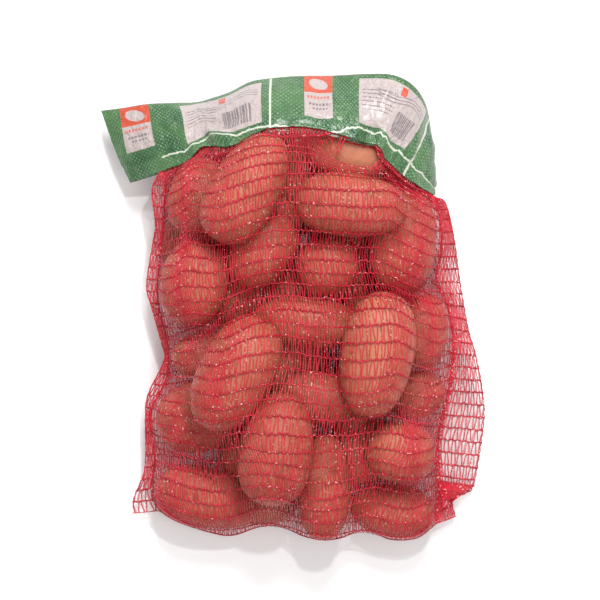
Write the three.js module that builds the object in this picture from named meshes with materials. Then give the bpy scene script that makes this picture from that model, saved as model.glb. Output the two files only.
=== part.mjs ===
// A knitted net bag of potatoes, lying on its back, with a folded film header clipped over its mouth.
// Millimetres, +Z up. The header lies towards +Y, and the origin is under the middle, on the ground.
// The net is drawn tight over the heap: each of its two sheets is a grid of points that pulls itself
// short, and every potato pushes the points out of its own body.
import * as THREE from 'three';

// ---------------------------------------------------------------- driving sizes

// One row for each potato: middle x, y and z, half length, half width, half height, turn from +X in
// degrees, and taper, which is how much fatter its leading end is.
const POTATOES = [
  // on top of the heap
  [-39, 101, 98, 51, 30, 28, 59, -0.10],
  [49, 87, 98, 48, 27, 27, -6, -0.05],
  [71, -39, 94, 54, 31, 29, 80, 0.05],
  [-48, -55, 91, 53, 32, 30, 62, 0.05],
  [-13, -118, 89, 49, 31, 29, 80, -0.12],
  // in the middle
  [-83, 21, 66, 37, 29, 30, 80, 0.03],
  [-25, 49, 73, 36, 26, 26, 50, 0.00],
  [30, 36, 71, 28, 25, 26, 20, 0.00],
  [93, 57, 68, 44, 29, 28, 84, -0.05],
  [-80, 95, 66, 34, 25, 27, 72, 0.00],
  [48, 131, 67, 35, 26, 27, -12, 0.00],
  [11, -12, 65, 46, 22, 25, -4, 0.00],
  [21, -76, 62, 34, 22, 24, -8, 0.00],
  [27, -150, 57, 45, 23, 26, 88, -0.06],
  [91, -122, 64, 30, 26, 27, -8, 0.00],
  [112, -20, 57, 32, 20, 25, 84, 0.00],
  // at the sides, low
  [-80, -92, 41, 37, 31, 29, 18, 0.05],
  [-79, -39, 45, 24, 20, 22, 20, 0.00],
  [-70, -160, 33, 46, 26, 27, -12, -0.10],
  [85, -171, 31, 35, 23, 26, -8, 0.05],
  [106, -74, 42, 24, 20, 25, 30, 0.00],
  // on the ground
  [-60, 122, 28, 42, 28, 27, 25, 0.08],
  [3, 122, 28, 40, 28, 27, -75, -0.08],
  [70, 106, 28, 42, 28, 27, -38, 0.05],
  [-84, 62, 27, 36, 26, 26, 60, 0.00],
  [-28, 70, 27, 38, 26, 26, 20, 0.06],
  [42, 66, 27, 38, 26, 26, 70, 0.00],
  [94, 38, 25, 34, 25, 24, 75, 0.00],
  [-50, 8, 27, 38, 26, 26, -20, 0.00],
  [8, 14, 27, 36, 26, 26, 10, 0.08],
  [-22, -50, 28, 40, 28, 27, 40, 0.00],
  [70, -22, 28, 42, 28, 27, -50, 0.10],
  [-22, -122, 28, 42, 27, 27, 5, 0.00],
  [62, -124, 26, 38, 26, 25, 20, 0.05],
  [36, -76, 26, 34, 25, 25, 15, 0.00],
  // small ones between those
  [12, -44, 23, 24, 19, 21, 70, 0.00],
  [46, 22, 23, 22, 18, 21, 10, 0.00],
  [51, -101, 22, 24, 17, 20, 80, 0.00],
  [-24, -170, 22, 28, 16, 20, 5, 0.00],
];
const POTATO_POWER = 2.3; // 2 is an ellipsoid, more is blunter
const LEAST_DEPTH = 0.2; // a point nearer a potato's middle than this share is pushed as if it were there

// The bag's outline from above. An edge is where the empty selvedge ends, and a seam is where the
// front and back sheets part to go round the potatoes.
const LEFT_EDGE = [
  [-113, 116], [-120, 100], [-117, 72], [-119, 58], [-125, 20], [-121, 2], [-112, -30], [-110, -44],
  [-123, -71], [-126, -88], [-127, -136], [-137, -163], [-137, -176],
];
const LEFT_SEAM = [
  [-108, 116], [-109, 82], [-115, 24], [-114, 0], [-107, -31], [-107, -58], [-120, -85], [-121, -103],
  [-118, -130], [-121, -152], [-115, -174],
];
const RIGHT_SEAM = [
  [118, 97], [125, 76], [126, 50], [122, 24], [131, 4], [137, -30], [134, -65], [128, -90],
  [123, -118], [125, -150], [123, -185],
];
const RIGHT_EDGE = [
  [122, 94], [130, 88], [137, 60], [143, 22], [150, -18], [157, -42], [164, -80], [163, -108],
  [155, -153], [145, -160], [137, -166], [140, -179],
];
const BOTTOM_SEAM = [
  [-115, -174], [-96, -184], [-66, -193], [-50, -194], [-28, -187], [-10, -187], [10, -195],
  [27, -198], [42, -196], [58, -190], [70, -192], [84, -198], [106, -197], [123, -185],
];

// The header, from its left end to its right: x, y and z of its folded top edge, then of its open
// lower edge. It is a band of film about 58 high that drapes down from the mouth of the net.
const HEADER = [
  [-164, 169, 24, -138, 111, 30],
  [-145, 171, 32, -121, 116, 46],
  [-124, 174, 40, -103, 122, 60],
  [-99, 175, 42, -87, 127, 68],
  [-82, 176, 34, -75, 140, 76],
  [-69, 179, 44, -65, 137, 84],
  [-53, 184, 54, -52, 137, 92],
  [-36, 192, 62, -35, 146, 98],
  [-18, 195, 64, -18, 152, 100],
  [6, 197, 62, 6, 153, 99],
  [33, 197, 66, 33, 149, 99],
  [61, 198, 74, 55, 143, 98],
  [84, 197, 80, 71, 140, 95],
  [101, 189, 77, 79, 129, 92],
  [112, 175, 65, 90, 118, 86],
  [117, 157, 48, 100, 109, 79],
  [119, 139, 30, 109, 103, 71],
  [116, 122, 15, 119, 96, 62],
];
const HEADER_HEIGHT = 58;
const HEADER_BULGE = 4; // how far the film bows outwards halfway up
const FILM = 0.9; // thickness of one ply
const POCKET = 2.4; // from the middle to the inside of a ply, at the open lower edge
const FOLD = 0.12; // share of the height, at the top, where the plies are one
const MOUTH_LEFT = 1.5; // header rows between which the net hangs, counted along HEADER
const MOUTH_RIGHT = 16.8;
const TUCK = 0.4; // share of the header's height that the net reaches up into it

const SHEET = 0.7; // half thickness of the net where its two sheets lie together
const THROAT = 1.8; // half thickness of the net where it enters the header
const CLEAR = 0.8; // from a potato to the middle of the sheet over it
const PRESSED = 1.6; // what is lower than this on the back sheet lies flat on the ground
const SAG = 0.004; // how much the front sheet's weight pulls it down, per square mm of its mesh
const SEAM_HEIGHT = 38; // height at which the side seams start
const WRAP = 20; // how far the back sheet goes out past the mouth, under the header
const FRONT_LIP = 6; // how far the front sheet goes straight on from the mouth
const BACK_LIP = 4; // how far the back sheet comes forward before it turns under the header
const LIP_COLUMNS = 3; // columns over which both lips grow from each side seam
const LEFT_FLAP = 2; // columns of the mesh across the left selvedge
const BODY = 36; // columns across the heap
const RIGHT_FLAP = 4; // columns across the right selvedge
const ROWS = 50; // rows from the mouth to the bottom
const NET_LENGTH = 380; // from the mouth to the bottom, along the front sheet
const TUCK_ROWS = 2; // rows inside the header
const GATHER = { left: [0.11, 0.045], right: [0.17, 0.05] }; // share of rows in that share of a side
const SEAM_STARTS = [0.02, 0.99]; // where the side seams leave the mouth, as shares of its length
const TURN_UNDER = 0.12; // share of the width over which the back sheet turns under from a seam
const UNDER_HEIGHT = 0.7; // height of that turn under the header, as a share of the mouth's
const DROOP = { left: 0.12, right: 0.35 }; // how far a selvedge falls, as a share of its width
const WAVES = { left: 44, right: 23 }; // waves along a selvedge, in radians from end to end
const WAVE = { left: 1, right: 1.5 }; // height of those waves
const ROUNDS = 320; // rounds of pulling
const DIP = 0.5; // how far the front sheet dips between potatoes, as a share of the depth to them
const DIP_REACH = 5; // rows or columns over which the dip grows from the sheet's sides
const DIP_EVENING = 3; // rounds of evening the dip out
const DIP_ROUNDS = 4; // rounds of pulling after it

// ---------------------------------------------------------------- curves

const mix = (a, b, share) => a.map((value, axis) => value * (1 - share) + b[axis] * share);
const gap = (a, b) => Math.hypot(...a.map((value, axis) => value - b[axis]));

// A smooth curve through the points. place runs from 0 at the first point to 1 less than their count.
function spline(points, place) {
  const last = points.length - 1;
  const start = Math.min(Math.max(Math.floor(place), 0), last - 1);
  const f = place - start;
  const [b, c] = [points[start], points[start + 1]];
  const a = start > 0 ? points[start - 1] : b.map((value, axis) => 2 * value - c[axis]);
  const d = start < last - 1 ? points[start + 2] : c.map((value, axis) => 2 * value - b[axis]);
  return b.map((value, axis) => 0.5 * (2 * value + (c[axis] - a[axis]) * f
    + (2 * a[axis] - 5 * value + 4 * c[axis] - d[axis]) * f * f
    + (3 * value - a[axis] - 3 * c[axis] + d[axis]) * f * f * f));
}

// The places along the points, from one place to another, that lie at the given shares of the length.
function placesByLength(points, from, to, shares) {
  const steps = 400;
  const places = Array.from({ length: steps + 1 }, (_, i) => from + ((to - from) * i) / steps);
  const lengths = [0];
  for (let i = 1; i <= steps; i += 1) {
    lengths.push(lengths[i - 1] + gap(spline(points, places[i]), spline(points, places[i - 1])));
  }
  return shares.map((share) => {
    const wanted = share * lengths[steps];
    let i = 1;
    while (i < steps && lengths[i] < wanted) i += 1;
    const f = (wanted - lengths[i - 1]) / (lengths[i] - lengths[i - 1]);
    return places[i - 1] + (places[i] - places[i - 1]) * f;
  });
}

function alongLength(points, shares) {
  return placesByLength(points, 0, points.length - 1, shares).map((place) => spline(points, place));
}

// ---------------------------------------------------------------- header

const headerTop = HEADER.map((row) => row.slice(0, 3));
const headerLow = HEADER.map((row) => row.slice(3));

// A point of the header. place counts along HEADER, down runs from 0 at the fold to 1 at the open
// edge, and out is the distance from the middle, towards the viewer.
function headerPoint(place, down, out) {
  const flat = (s, t) => mix(spline(headerTop, s), spline(headerLow, s), t);
  const step = 0.001;
  const ahead = new THREE.Vector3(...flat(place + step, down));
  const along = ahead.sub(new THREE.Vector3(...flat(place - step, down)));
  const downwards = new THREE.Vector3(...flat(place, 1)).sub(new THREE.Vector3(...flat(place, 0)));
  const normal = downwards.cross(along).normalize();
  if (normal.z < 0) normal.negate();
  const lift = HEADER_BULGE * Math.sin(Math.PI * Math.min(down, 1)) + out;
  return new THREE.Vector3(...flat(place, down)).addScaledVector(normal, lift).toArray();
}

// ---------------------------------------------------------------- potatoes

const potatoes = POTATOES.map(([x, y, z, length, width, height, turn, taper]) => ({
  x, y, z, length, width, height, taper,
  cos: Math.cos(THREE.MathUtils.degToRad(turn)),
  sin: Math.sin(THREE.MathUtils.degToRad(turn)),
}));

// How high the sheet lies over the potatoes at a point seen from above.
function heightOver(x, y) {
  let highest = 0;
  for (const potato of potatoes) {
    const dx = x - potato.x;
    const dy = y - potato.y;
    const a = (dx * potato.cos + dy * potato.sin) / (potato.length + CLEAR);
    const fat = 1 + potato.taper * Math.min(Math.max(a, -1), 1);
    const b = (dy * potato.cos - dx * potato.sin) / ((potato.width + CLEAR) * fat);
    const reach = Math.abs(a) ** POTATO_POWER + Math.abs(b) ** POTATO_POWER;
    if (reach < 1) {
      const rise = (potato.height + CLEAR) * fat * (1 - reach) ** (1 / POTATO_POWER);
      highest = Math.max(highest, potato.z + rise);
    }
  }
  return highest;
}

// Moves the point at index k of the sheet out of every potato.
function pushOut(sheet, k) {
  for (const potato of potatoes) {
    const dx = sheet[k] - potato.x;
    const dy = sheet[k + 1] - potato.y;
    const dz = sheet[k + 2] - potato.z;
    const far = potato.length + 2 * CLEAR;
    if (Math.abs(dx) > far || Math.abs(dy) > far || Math.abs(dz) > far) continue;
    const length = potato.length + CLEAR;
    const a = (dx * potato.cos + dy * potato.sin) / length;
    const fat = 1 + potato.taper * Math.min(Math.max(a, -1), 1);
    const width = (potato.width + CLEAR) * fat;
    const height = (potato.height + CLEAR) * fat;
    const b = (dy * potato.cos - dx * potato.sin) / width;
    const c = dz / height;
    const sum = Math.abs(a) ** POTATO_POWER + Math.abs(b) ** POTATO_POWER + Math.abs(c) ** POTATO_POWER;
    const depth = Math.max(sum ** (1 / POTATO_POWER), LEAST_DEPTH);
    if (depth >= 1) continue;
    const slope = (q, size) => (Math.sign(q) * Math.abs(q) ** (POTATO_POWER - 1)
      * depth ** (1 - POTATO_POWER)) / size;
    const [ga, gb, gc] = [slope(a, length), slope(b, width), slope(c, height)];
    const push = (1 - depth) / (ga * ga + gb * gb + gc * gc);
    sheet[k] += push * (ga * potato.cos - gb * potato.sin);
    sheet[k + 1] += push * (ga * potato.sin + gb * potato.cos);
    sheet[k + 2] += push * gc;
  }
}

// ---------------------------------------------------------------- the net's two sheets

const COLUMNS = LEFT_FLAP + BODY + RIGHT_FLAP;
const FIRST = LEFT_FLAP; // column of the left seam
const LAST = LEFT_FLAP + BODY; // column of the right seam
const at = (row, column) => 3 * (row * (COLUMNS + 1) + column);

function setPoint(sheet, row, column, point) {
  sheet.set(point, at(row, column));
}

// Shares of a side's length at which the rows meet it: they bunch together under the header.
function gathered([rows, length]) {
  return Array.from({ length: ROWS + 1 }, (_, row) => {
    const v = row / ROWS;
    return v < rows ? (v * length) / rows : length + ((v - rows) * (1 - length)) / (1 - rows);
  });
}

const smooth = (x) => {
  const f = Math.min(Math.max(x, 0), 1);
  return f * f * (3 - 2 * f);
};

// Places along the header's lower edge for every column: the selvedges are drawn in close.
const columnShares = Array.from({ length: COLUMNS + 1 }, (_, column) => {
  const [left, right] = SEAM_STARTS;
  if (column < FIRST) return (left * column) / FIRST;
  if (column > LAST) return right + ((1 - right) * (column - LAST)) / RIGHT_FLAP;
  return left + ((right - left) * (column - FIRST)) / BODY;
});
const mouthPlaces = placesByLength(headerLow, MOUTH_LEFT, MOUTH_RIGHT, columnShares);

// The path of the back sheet in one column: from the mouth out under the header, down to the ground,
// and along it to the bottom seam. share runs from 0 to 1 along the path.
function backPath(mouth, bottom, share) {
  const path = [
    mouth,
    [mouth[0], mouth[1] + WRAP, UNDER_HEIGHT * mouth[2]],
    [mouth[0], mouth[1] + WRAP, 0],
    [bottom[0], bottom[1] + 1, 0],
    bottom,
  ];
  const lengths = path.slice(1).map((point, i) => gap(point, path[i]));
  let left = share * lengths.reduce((sum, length) => sum + length, 0);
  for (let i = 0; i < lengths.length; i += 1) {
    if (left <= lengths[i]) return mix(path[i], path[i + 1], left / lengths[i]);
    left -= lengths[i];
  }
  return bottom;
}

function layOut() {
  const [front, back] = [0, 1].map(() => new Float64Array(3 * (ROWS + 1) * (COLUMNS + 1)));
  const [leftRows, rightRows] = [gathered(GATHER.left), gathered(GATHER.right)];
  const leftEdge = alongLength(LEFT_EDGE, leftRows);
  const leftSeam = alongLength(LEFT_SEAM, leftRows);
  const rightSeam = alongLength(RIGHT_SEAM, rightRows);
  const rightEdge = alongLength(RIGHT_EDGE, rightRows);
  const bodyShares = Array.from({ length: BODY + 1 }, (_, i) => i / BODY);
  const bottom = alongLength(BOTTOM_SEAM, bodyShares);
  const mouth = mouthPlaces.map((place) => headerPoint(place, 1, 0));
  leftSeam[0] = mouth[FIRST].slice(0, 2);
  rightSeam[0] = mouth[LAST].slice(0, 2);
  for (let row = 0; row <= ROWS; row += 1) {
    const v = row / ROWS;
    for (let column = FIRST; column <= LAST; column += 1) {
      const u = bodyShares[column - FIRST];
      const top = mouth[column];
      const across = mix(leftSeam[row], rightSeam[row], u);
      const down = mix(top.slice(0, 2), bottom[column - FIRST], v);
      const corners = mix(
        mix(leftSeam[0], rightSeam[0], u), mix(bottom[0], bottom[BODY], u), v,
      );
      const flat = across.map((value, axis) => value + down[axis] - corners[axis]);
      const high = Math.max(heightOver(...flat), SEAM_HEIGHT);
      setPoint(front, row, column, [...flat, row === 0 ? top[2] : high]);
      const under = backPath(top, [...bottom[column - FIRST], SEAM_HEIGHT], v);
      const inside = smooth(Math.min(u, 1 - u) / TURN_UNDER);
      setPoint(back, row, column, mix([...flat, row === 0 ? top[2] : 0], under, inside));
    }
    for (let i = 0; i < LEFT_FLAP; i += 1) {
      const edge = mix(leftEdge[row], leftSeam[row], i / LEFT_FLAP);
      [front, back].forEach((sheet) => setPoint(sheet, row, i, [...edge, SEAM_HEIGHT]));
    }
    for (let i = 1; i <= RIGHT_FLAP; i += 1) {
      const edge = mix(rightSeam[row], rightEdge[row], i / RIGHT_FLAP);
      [front, back].forEach((sheet) => setPoint(sheet, row, LAST + i, [...edge, SEAM_HEIGHT]));
    }
  }
  return [front, back];
}

// One round of pulling: every inner point goes to the middle of its four neighbours.
function pull(sheet, weight) {
  const before = Float64Array.from(sheet);
  for (let row = 1; row < ROWS; row += 1) {
    for (let column = FIRST + 1; column < LAST; column += 1) {
      const k = at(row, column);
      const around = [at(row - 1, column), at(row + 1, column), k - 3, k + 3];
      for (let axis = 0; axis < 3; axis += 1) {
        sheet[k + axis] = around.reduce((sum, n) => sum + before[n + axis], 0) / 4;
      }
      sheet[k + 2] -= weight;
    }
  }
}

// The seams find their own height between the two sheets. Under the header they start at the mouth.
function settleSeams(front, back) {
  const settle = (cells, mouth, bunched) => {
    const middle = cells.map(([, inner]) => (front[inner + 2] + back[inner + 2]) / 2);
    cells.forEach(([seam], i) => {
      const before = middle[Math.max(i - 1, 0)];
      const after = middle[Math.min(i + 1, middle.length - 1)];
      const level = Math.max((before + 2 * middle[i] + after) / 4, SHEET);
      const height = mouth + (level - mouth) * smooth((i + 1) / ROWS / (2 * bunched));
      front[seam + 2] = height + SHEET;
      back[seam + 2] = height - SHEET;
    });
  };
  const side = (seam, inner, bunched) => {
    const cells = Array.from({ length: ROWS }, (_, i) => [at(i + 1, seam), at(i + 1, inner)]);
    settle(cells, headerPoint(mouthPlaces[seam], 1, 0)[2], bunched);
  };
  side(FIRST, FIRST + 1, GATHER.left[0]);
  side(LAST, LAST - 1, GATHER.right[0]);
  const columns = Array.from({ length: BODY - 1 }, (_, i) => FIRST + 1 + i);
  settle(columns.map((column) => [at(ROWS, column), at(ROWS - 1, column)]), 0, 1e-6);
}

// The empty selvedges droop a little and wave.
function drapeFlaps(front, back) {
  for (let row = 1; row <= ROWS; row += 1) {
    const v = row / ROWS;
    const hang = (seam, column, share, droop, wave) => {
      const from = at(row, seam);
      const to = at(row, column);
      const width = Math.hypot(front[from] - front[to], front[from + 1] - front[to + 1]);
      const middle = (front[from + 2] + back[from + 2]) / 2 - droop * width * share + wave;
      const height = Math.max(middle, SHEET);
      front[to + 2] = height + SHEET;
      back[to + 2] = height - SHEET;
    };
    for (let i = 1; i <= LEFT_FLAP; i += 1) {
      const share = i / LEFT_FLAP;
      hang(FIRST, FIRST - i, share, DROOP.left, WAVE.left * Math.sin(WAVES.left * v) * share);
    }
    for (let i = 1; i <= RIGHT_FLAP; i += 1) {
      const share = i / RIGHT_FLAP;
      const wave = WAVE.right * Math.sin(WAVES.right * v + 2 * share);
      hang(LAST, LAST + i, share, DROOP.right, wave * share);
    }
  }
}

// The points of a sheet inside its seams, its mouth and its bottom.
function eachInner(action) {
  for (let row = 1; row < ROWS; row += 1) {
    for (let column = FIRST + 1; column < LAST; column += 1) action(row, column, at(row, column));
  }
}

// Pushes both sheets out of the potatoes, keeps them apart, and holds their lips in the header.
function fitSheets(front, back) {
  eachInner((row, column, k) => {
    [front, back].forEach((sheet) => pushOut(sheet, k));
    back[k + 2] = Math.max(back[k + 2], 0);
    front[k + 2] = Math.max(front[k + 2], back[k + 2] + 2 * SHEET);
  });
  for (let column = FIRST + 1; column < LAST; column += 1) {
    const open = smooth(Math.min(column - FIRST, LAST - column) / LIP_COLUMNS);
    const beyond = (reach, out) => headerPoint(mouthPlaces[column], 1 + reach / HEADER_HEIGHT, out);
    setPoint(front, 1, column, beyond(1 + FRONT_LIP * open, THROAT));
    setPoint(back, 1, column, beyond(1 + BACK_LIP * open, -THROAT - BACK_LIP * open));
  }
}

// Between potatoes the front sheet dips towards those below.
function dip(front) {
  const depth = new Float64Array(front.length);
  const share = (row, column) => smooth(Math.min(column - FIRST, LAST - column) / DIP_REACH)
    * smooth(Math.min(row - 1, ROWS - row) / DIP_REACH);
  eachInner((row, column, k) => {
    const room = Math.max(front[k + 2] - heightOver(front[k], front[k + 1]), 0);
    depth[k] = DIP * room * share(row, column);
  });
  for (let round = 0; round < DIP_EVENING; round += 1) {
    const before = depth.slice();
    eachInner((row, column, k) => {
      const beside = before[k - 3] + before[k + 3];
      const above = before[at(row - 1, column)] + before[at(row + 1, column)];
      depth[k] = (4 * before[k] + beside + above) / 8;
    });
  }
  eachInner((row, column, k) => {
    front[k + 2] -= depth[k] * share(row, column);
  });
}

function drawTight() {
  const [front, back] = layOut();
  const cell = NET_LENGTH / ROWS;
  for (let round = 0; round < ROUNDS; round += 1) {
    pull(front, SAG * cell * cell);
    pull(back, 0);
    settleSeams(front, back);
    fitSheets(front, back);
  }
  dip(front);
  for (let round = 0; round < DIP_ROUNDS; round += 1) {
    pull(front, 0);
    fitSheets(front, back);
  }
  for (let k = 2; k < back.length; k += 3) {
    if (back[k] < PRESSED) back[k] = 0;
  }
  drapeFlaps(front, back);
  mouthPlaces.forEach((place, column) => {
    setPoint(front, 0, column, headerPoint(place, 1, THROAT));
    setPoint(back, 0, column, headerPoint(place, 1, -THROAT));
  });
  return [front, back];
}

// ---------------------------------------------------------------- meshes

// Joins grids of points into one closed surface. Each quad is split along its shorter diagonal.
function solid(name, points, quads, triangles, material) {
  const positions = points.flat();
  const index = triangles.flat();
  for (const [a, b, c, d] of quads) {
    if (gap(points[a], points[c]) < gap(points[b], points[d])) index.push(a, b, c, a, c, d);
    else index.push(a, b, d, b, c, d);
  }
  const geometry = new THREE.BufferGeometry();
  geometry.setAttribute('position', new THREE.Float32BufferAttribute(positions, 3));
  geometry.setIndex(index);
  geometry.computeVertexNormals();
  const mesh = new THREE.Mesh(geometry, material);
  mesh.name = name;
  return mesh;
}

// Half the pocket's gap at a height on the header, which closes towards the fold.
const pocket = (down) => (POCKET * (down - FOLD)) / (1 - FOLD);

function netMesh(material) {
  const [front, back] = drawTight();
  const rows = ROWS + TUCK_ROWS; // grid rows below the first
  const points = [];
  const number = (side, row, column) => (side * (rows + 1) + row) * (COLUMNS + 1) + column;
  [front, back].forEach((sheet, side) => {
    for (let row = 0; row <= rows; row += 1) {
      for (let column = 0; column <= COLUMNS; column += 1) {
        if (row < TUCK_ROWS) {
          const down = 1 - (TUCK * (TUCK_ROWS - row)) / TUCK_ROWS;
          const out = (THROAT / POCKET) * pocket(down) * (side === 0 ? 1 : -1);
          points.push(headerPoint(mouthPlaces[column], down, out));
        } else {
          const k = at(row - TUCK_ROWS, column);
          points.push([sheet[k], sheet[k + 1], sheet[k + 2]]);
        }
      }
    }
  });
  const quads = [];
  for (let row = 0; row < rows; row += 1) {
    for (let column = 0; column < COLUMNS; column += 1) {
      const corners = (side) => [
        number(side, row, column), number(side, row + 1, column),
        number(side, row + 1, column + 1), number(side, row, column + 1),
      ];
      quads.push(corners(0), corners(1).reverse());
    }
    for (const [column, order] of [[0, 1], [COLUMNS, -1]]) {
      const rim = [number(0, row, column), number(1, row, column),
        number(1, row + 1, column), number(0, row + 1, column)];
      quads.push(order > 0 ? rim : rim.reverse());
    }
  }
  for (let column = 0; column < COLUMNS; column += 1) {
    for (const [row, order] of [[0, -1], [rows, 1]]) {
      const rim = [number(0, row, column), number(1, row, column),
        number(1, row, column + 1), number(0, row, column + 1)];
      quads.push(order > 0 ? rim : rim.reverse());
    }
  }
  return solid('potato_net', points, quads, [], material);
}

// The header's section is a hairpin: down the front ply, round its lower edge, up inside the pocket,
// and the same again on the back.
function headerSection() {
  const outside = [0.03, 0.2, 0.4, 0.6, 0.8, 1];
  const inside = [1, 0.8, 0.6, 0.4, FOLD + 0.04];
  const ply = [
    ...outside.map((down) => [down, Math.max(pocket(down), 0) + FILM]),
    ...inside.map((down) => [down, pocket(down)]),
  ];
  const backPly = ply.map(([down, out]) => [down, -out]).reverse();
  return [[0, 0], ...ply, [FOLD, 0], ...backPly];
}

function headerMesh(material) {
  const loose = [0, 0.25, 0.5, 0.75, 1, 1.25]; // the free end beside the net
  const places = [...loose, ...mouthPlaces, HEADER.length - 1];
  const section = headerSection();
  const points = places.flatMap((place) => section.map(([down, out]) => headerPoint(place, down, out)));
  const n = section.length;
  const quads = [];
  for (let ring = 0; ring < places.length - 1; ring += 1) {
    for (let i = 0; i < n; i += 1) {
      const next = (i + 1) % n;
      quads.push([ring * n + i, ring * n + next, (ring + 1) * n + next, (ring + 1) * n + i]);
    }
  }
  const outline = section.map(([down, out]) => new THREE.Vector2(HEADER_HEIGHT * down, out));
  const cap = THREE.ShapeUtils.triangulateShape(outline, []);
  const lastRing = (places.length - 1) * n;
  const triangles = cap.flatMap(([a, b, c]) => [[a, b, c], [lastRing + c, lastRing + b, lastRing + a]]);
  return solid('header_band', points, quads, triangles, material);
}

const netMaterial = new THREE.MeshStandardMaterial({ color: 0xc8605a, roughness: 0.55, metalness: 0 });
const filmMaterial = new THREE.MeshStandardMaterial({ color: 0x5e8c58, roughness: 0.3, metalness: 0 });

const netOfPotatoes = new THREE.Group();
netOfPotatoes.add(netMesh(netMaterial), headerMesh(filmMaterial));

export default netOfPotatoes;
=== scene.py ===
import math

import bmesh
import bpy
import numpy as np
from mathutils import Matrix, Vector, noise
from mathutils.bvhtree import BVHTree


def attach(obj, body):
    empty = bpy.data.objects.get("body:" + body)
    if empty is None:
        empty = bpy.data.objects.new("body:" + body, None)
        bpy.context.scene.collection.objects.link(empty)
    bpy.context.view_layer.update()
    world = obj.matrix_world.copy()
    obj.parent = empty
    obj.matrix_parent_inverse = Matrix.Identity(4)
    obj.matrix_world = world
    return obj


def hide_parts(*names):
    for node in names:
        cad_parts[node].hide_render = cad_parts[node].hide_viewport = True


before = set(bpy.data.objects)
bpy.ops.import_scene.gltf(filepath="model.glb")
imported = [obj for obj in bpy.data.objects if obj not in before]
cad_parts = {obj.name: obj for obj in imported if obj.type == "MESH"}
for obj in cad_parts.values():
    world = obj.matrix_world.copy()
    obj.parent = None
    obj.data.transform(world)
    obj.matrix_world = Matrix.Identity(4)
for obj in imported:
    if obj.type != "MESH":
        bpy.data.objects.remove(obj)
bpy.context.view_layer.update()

# A knitted net bag of potatoes, lying on its back, seen from straight above. Tables and shapes are in
# millimetres, as in the part's source, and turn into metres where a mesh is made.
MM = 0.001

# ---------------------------------------------------------------- camera

VIEW_MIDDLE = (6.2, 7.0)  # what the middle of the picture looks at
VIEW_WIDTH = 510.0  # how much of the table the picture is across
VIEW_LEVEL = 50.0  # the height at which it is that much
CAMERA_ABOVE = 4000.0  # from that height up to the camera
SENSOR = 36.0
VIEW_REACH = 20.0  # metres


def set_camera():
    """A camera straight above, so far away that the picture hardly narrows with height."""
    data = bpy.data.cameras.new("camera")
    data.sensor_width = SENSOR
    data.lens = SENSOR * CAMERA_ABOVE / VIEW_WIDTH
    data.clip_end = VIEW_REACH
    camera = add_object("camera", data)
    camera.location = Vector((*VIEW_MIDDLE, VIEW_LEVEL + CAMERA_ABOVE)) * MM
    bpy.context.scene.camera = camera


# ---------------------------------------------------------------- sizes

# One row for each potato: middle x, y and z, half length, half width, half height, turn from +X in
# degrees, and taper, which is how much fatter its leading end is.
POTATOES = [
    # on top of the heap
    (-39, 101, 98, 51, 30, 28, 59, -0.10),
    (49, 87, 98, 48, 27, 27, -6, -0.05),
    (71, -39, 94, 54, 31, 29, 80, 0.05),
    (-48, -55, 91, 53, 32, 30, 62, 0.05),
    (-13, -118, 89, 49, 31, 29, 80, -0.12),
    # in the middle
    (-83, 21, 66, 37, 29, 30, 80, 0.03),
    (-25, 49, 73, 36, 26, 26, 50, 0.00),
    (30, 36, 71, 28, 25, 26, 20, 0.00),
    (93, 57, 68, 44, 29, 28, 84, -0.05),
    (-80, 95, 66, 34, 25, 27, 72, 0.00),
    (48, 131, 67, 35, 26, 27, -12, 0.00),
    (11, -12, 65, 46, 22, 25, -4, 0.00),
    (21, -76, 62, 34, 22, 24, -8, 0.00),
    (27, -152, 57, 45, 23, 26, 88, -0.06),
    (91, -122, 64, 30, 26, 27, -8, 0.00),
    (112, -20, 57, 32, 20, 25, 84, 0.00),
    # at the sides, low
    (-80, -92, 41, 37, 31, 29, 18, 0.05),
    (-79, -39, 45, 24, 20, 22, 20, 0.00),
    (-72, -162, 33, 46, 26, 27, -12, -0.10),
    (85, -173, 31, 36, 23, 26, -8, 0.05),
    (106, -74, 42, 24, 20, 25, 30, 0.00),
    # on the ground
    (-60, 122, 28, 42, 28, 27, 25, 0.08),
    (3, 122, 28, 40, 28, 27, -75, -0.08),
    (70, 106, 28, 42, 28, 27, -38, 0.05),
    (-84, 62, 27, 36, 26, 26, 60, 0.00),
    (-28, 70, 27, 38, 26, 26, 20, 0.06),
    (42, 66, 27, 38, 26, 26, 70, 0.00),
    (94, 38, 25, 34, 25, 24, 75, 0.00),
    (-50, 8, 27, 38, 26, 26, -20, 0.00),
    (8, 14, 27, 36, 26, 26, 10, 0.08),
    (-22, -50, 28, 40, 28, 27, 40, 0.00),
    (70, -22, 28, 42, 28, 27, -50, 0.10),
    (-22, -122, 28, 42, 27, 27, 5, 0.00),
    (62, -124, 26, 38, 26, 25, 20, 0.05),
    (36, -76, 26, 34, 25, 25, 15, 0.00),
    # small ones between those
    (12, -44, 23, 24, 19, 21, 70, 0.00),
    (46, 22, 23, 22, 18, 21, 10, 0.00),
    (51, -101, 22, 24, 17, 20, 80, 0.00),
    (-24, -170, 22, 28, 16, 20, 5, 0.00),
]
POTATO_POWER = 2.3  # 2 is an ellipsoid, more is blunter
LEAST_DEPTH = 0.2  # a point nearer a potato's middle than this share is pushed as if it were there
GROUND_POTATOES = 18  # the last rows above, which hardly show

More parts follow.
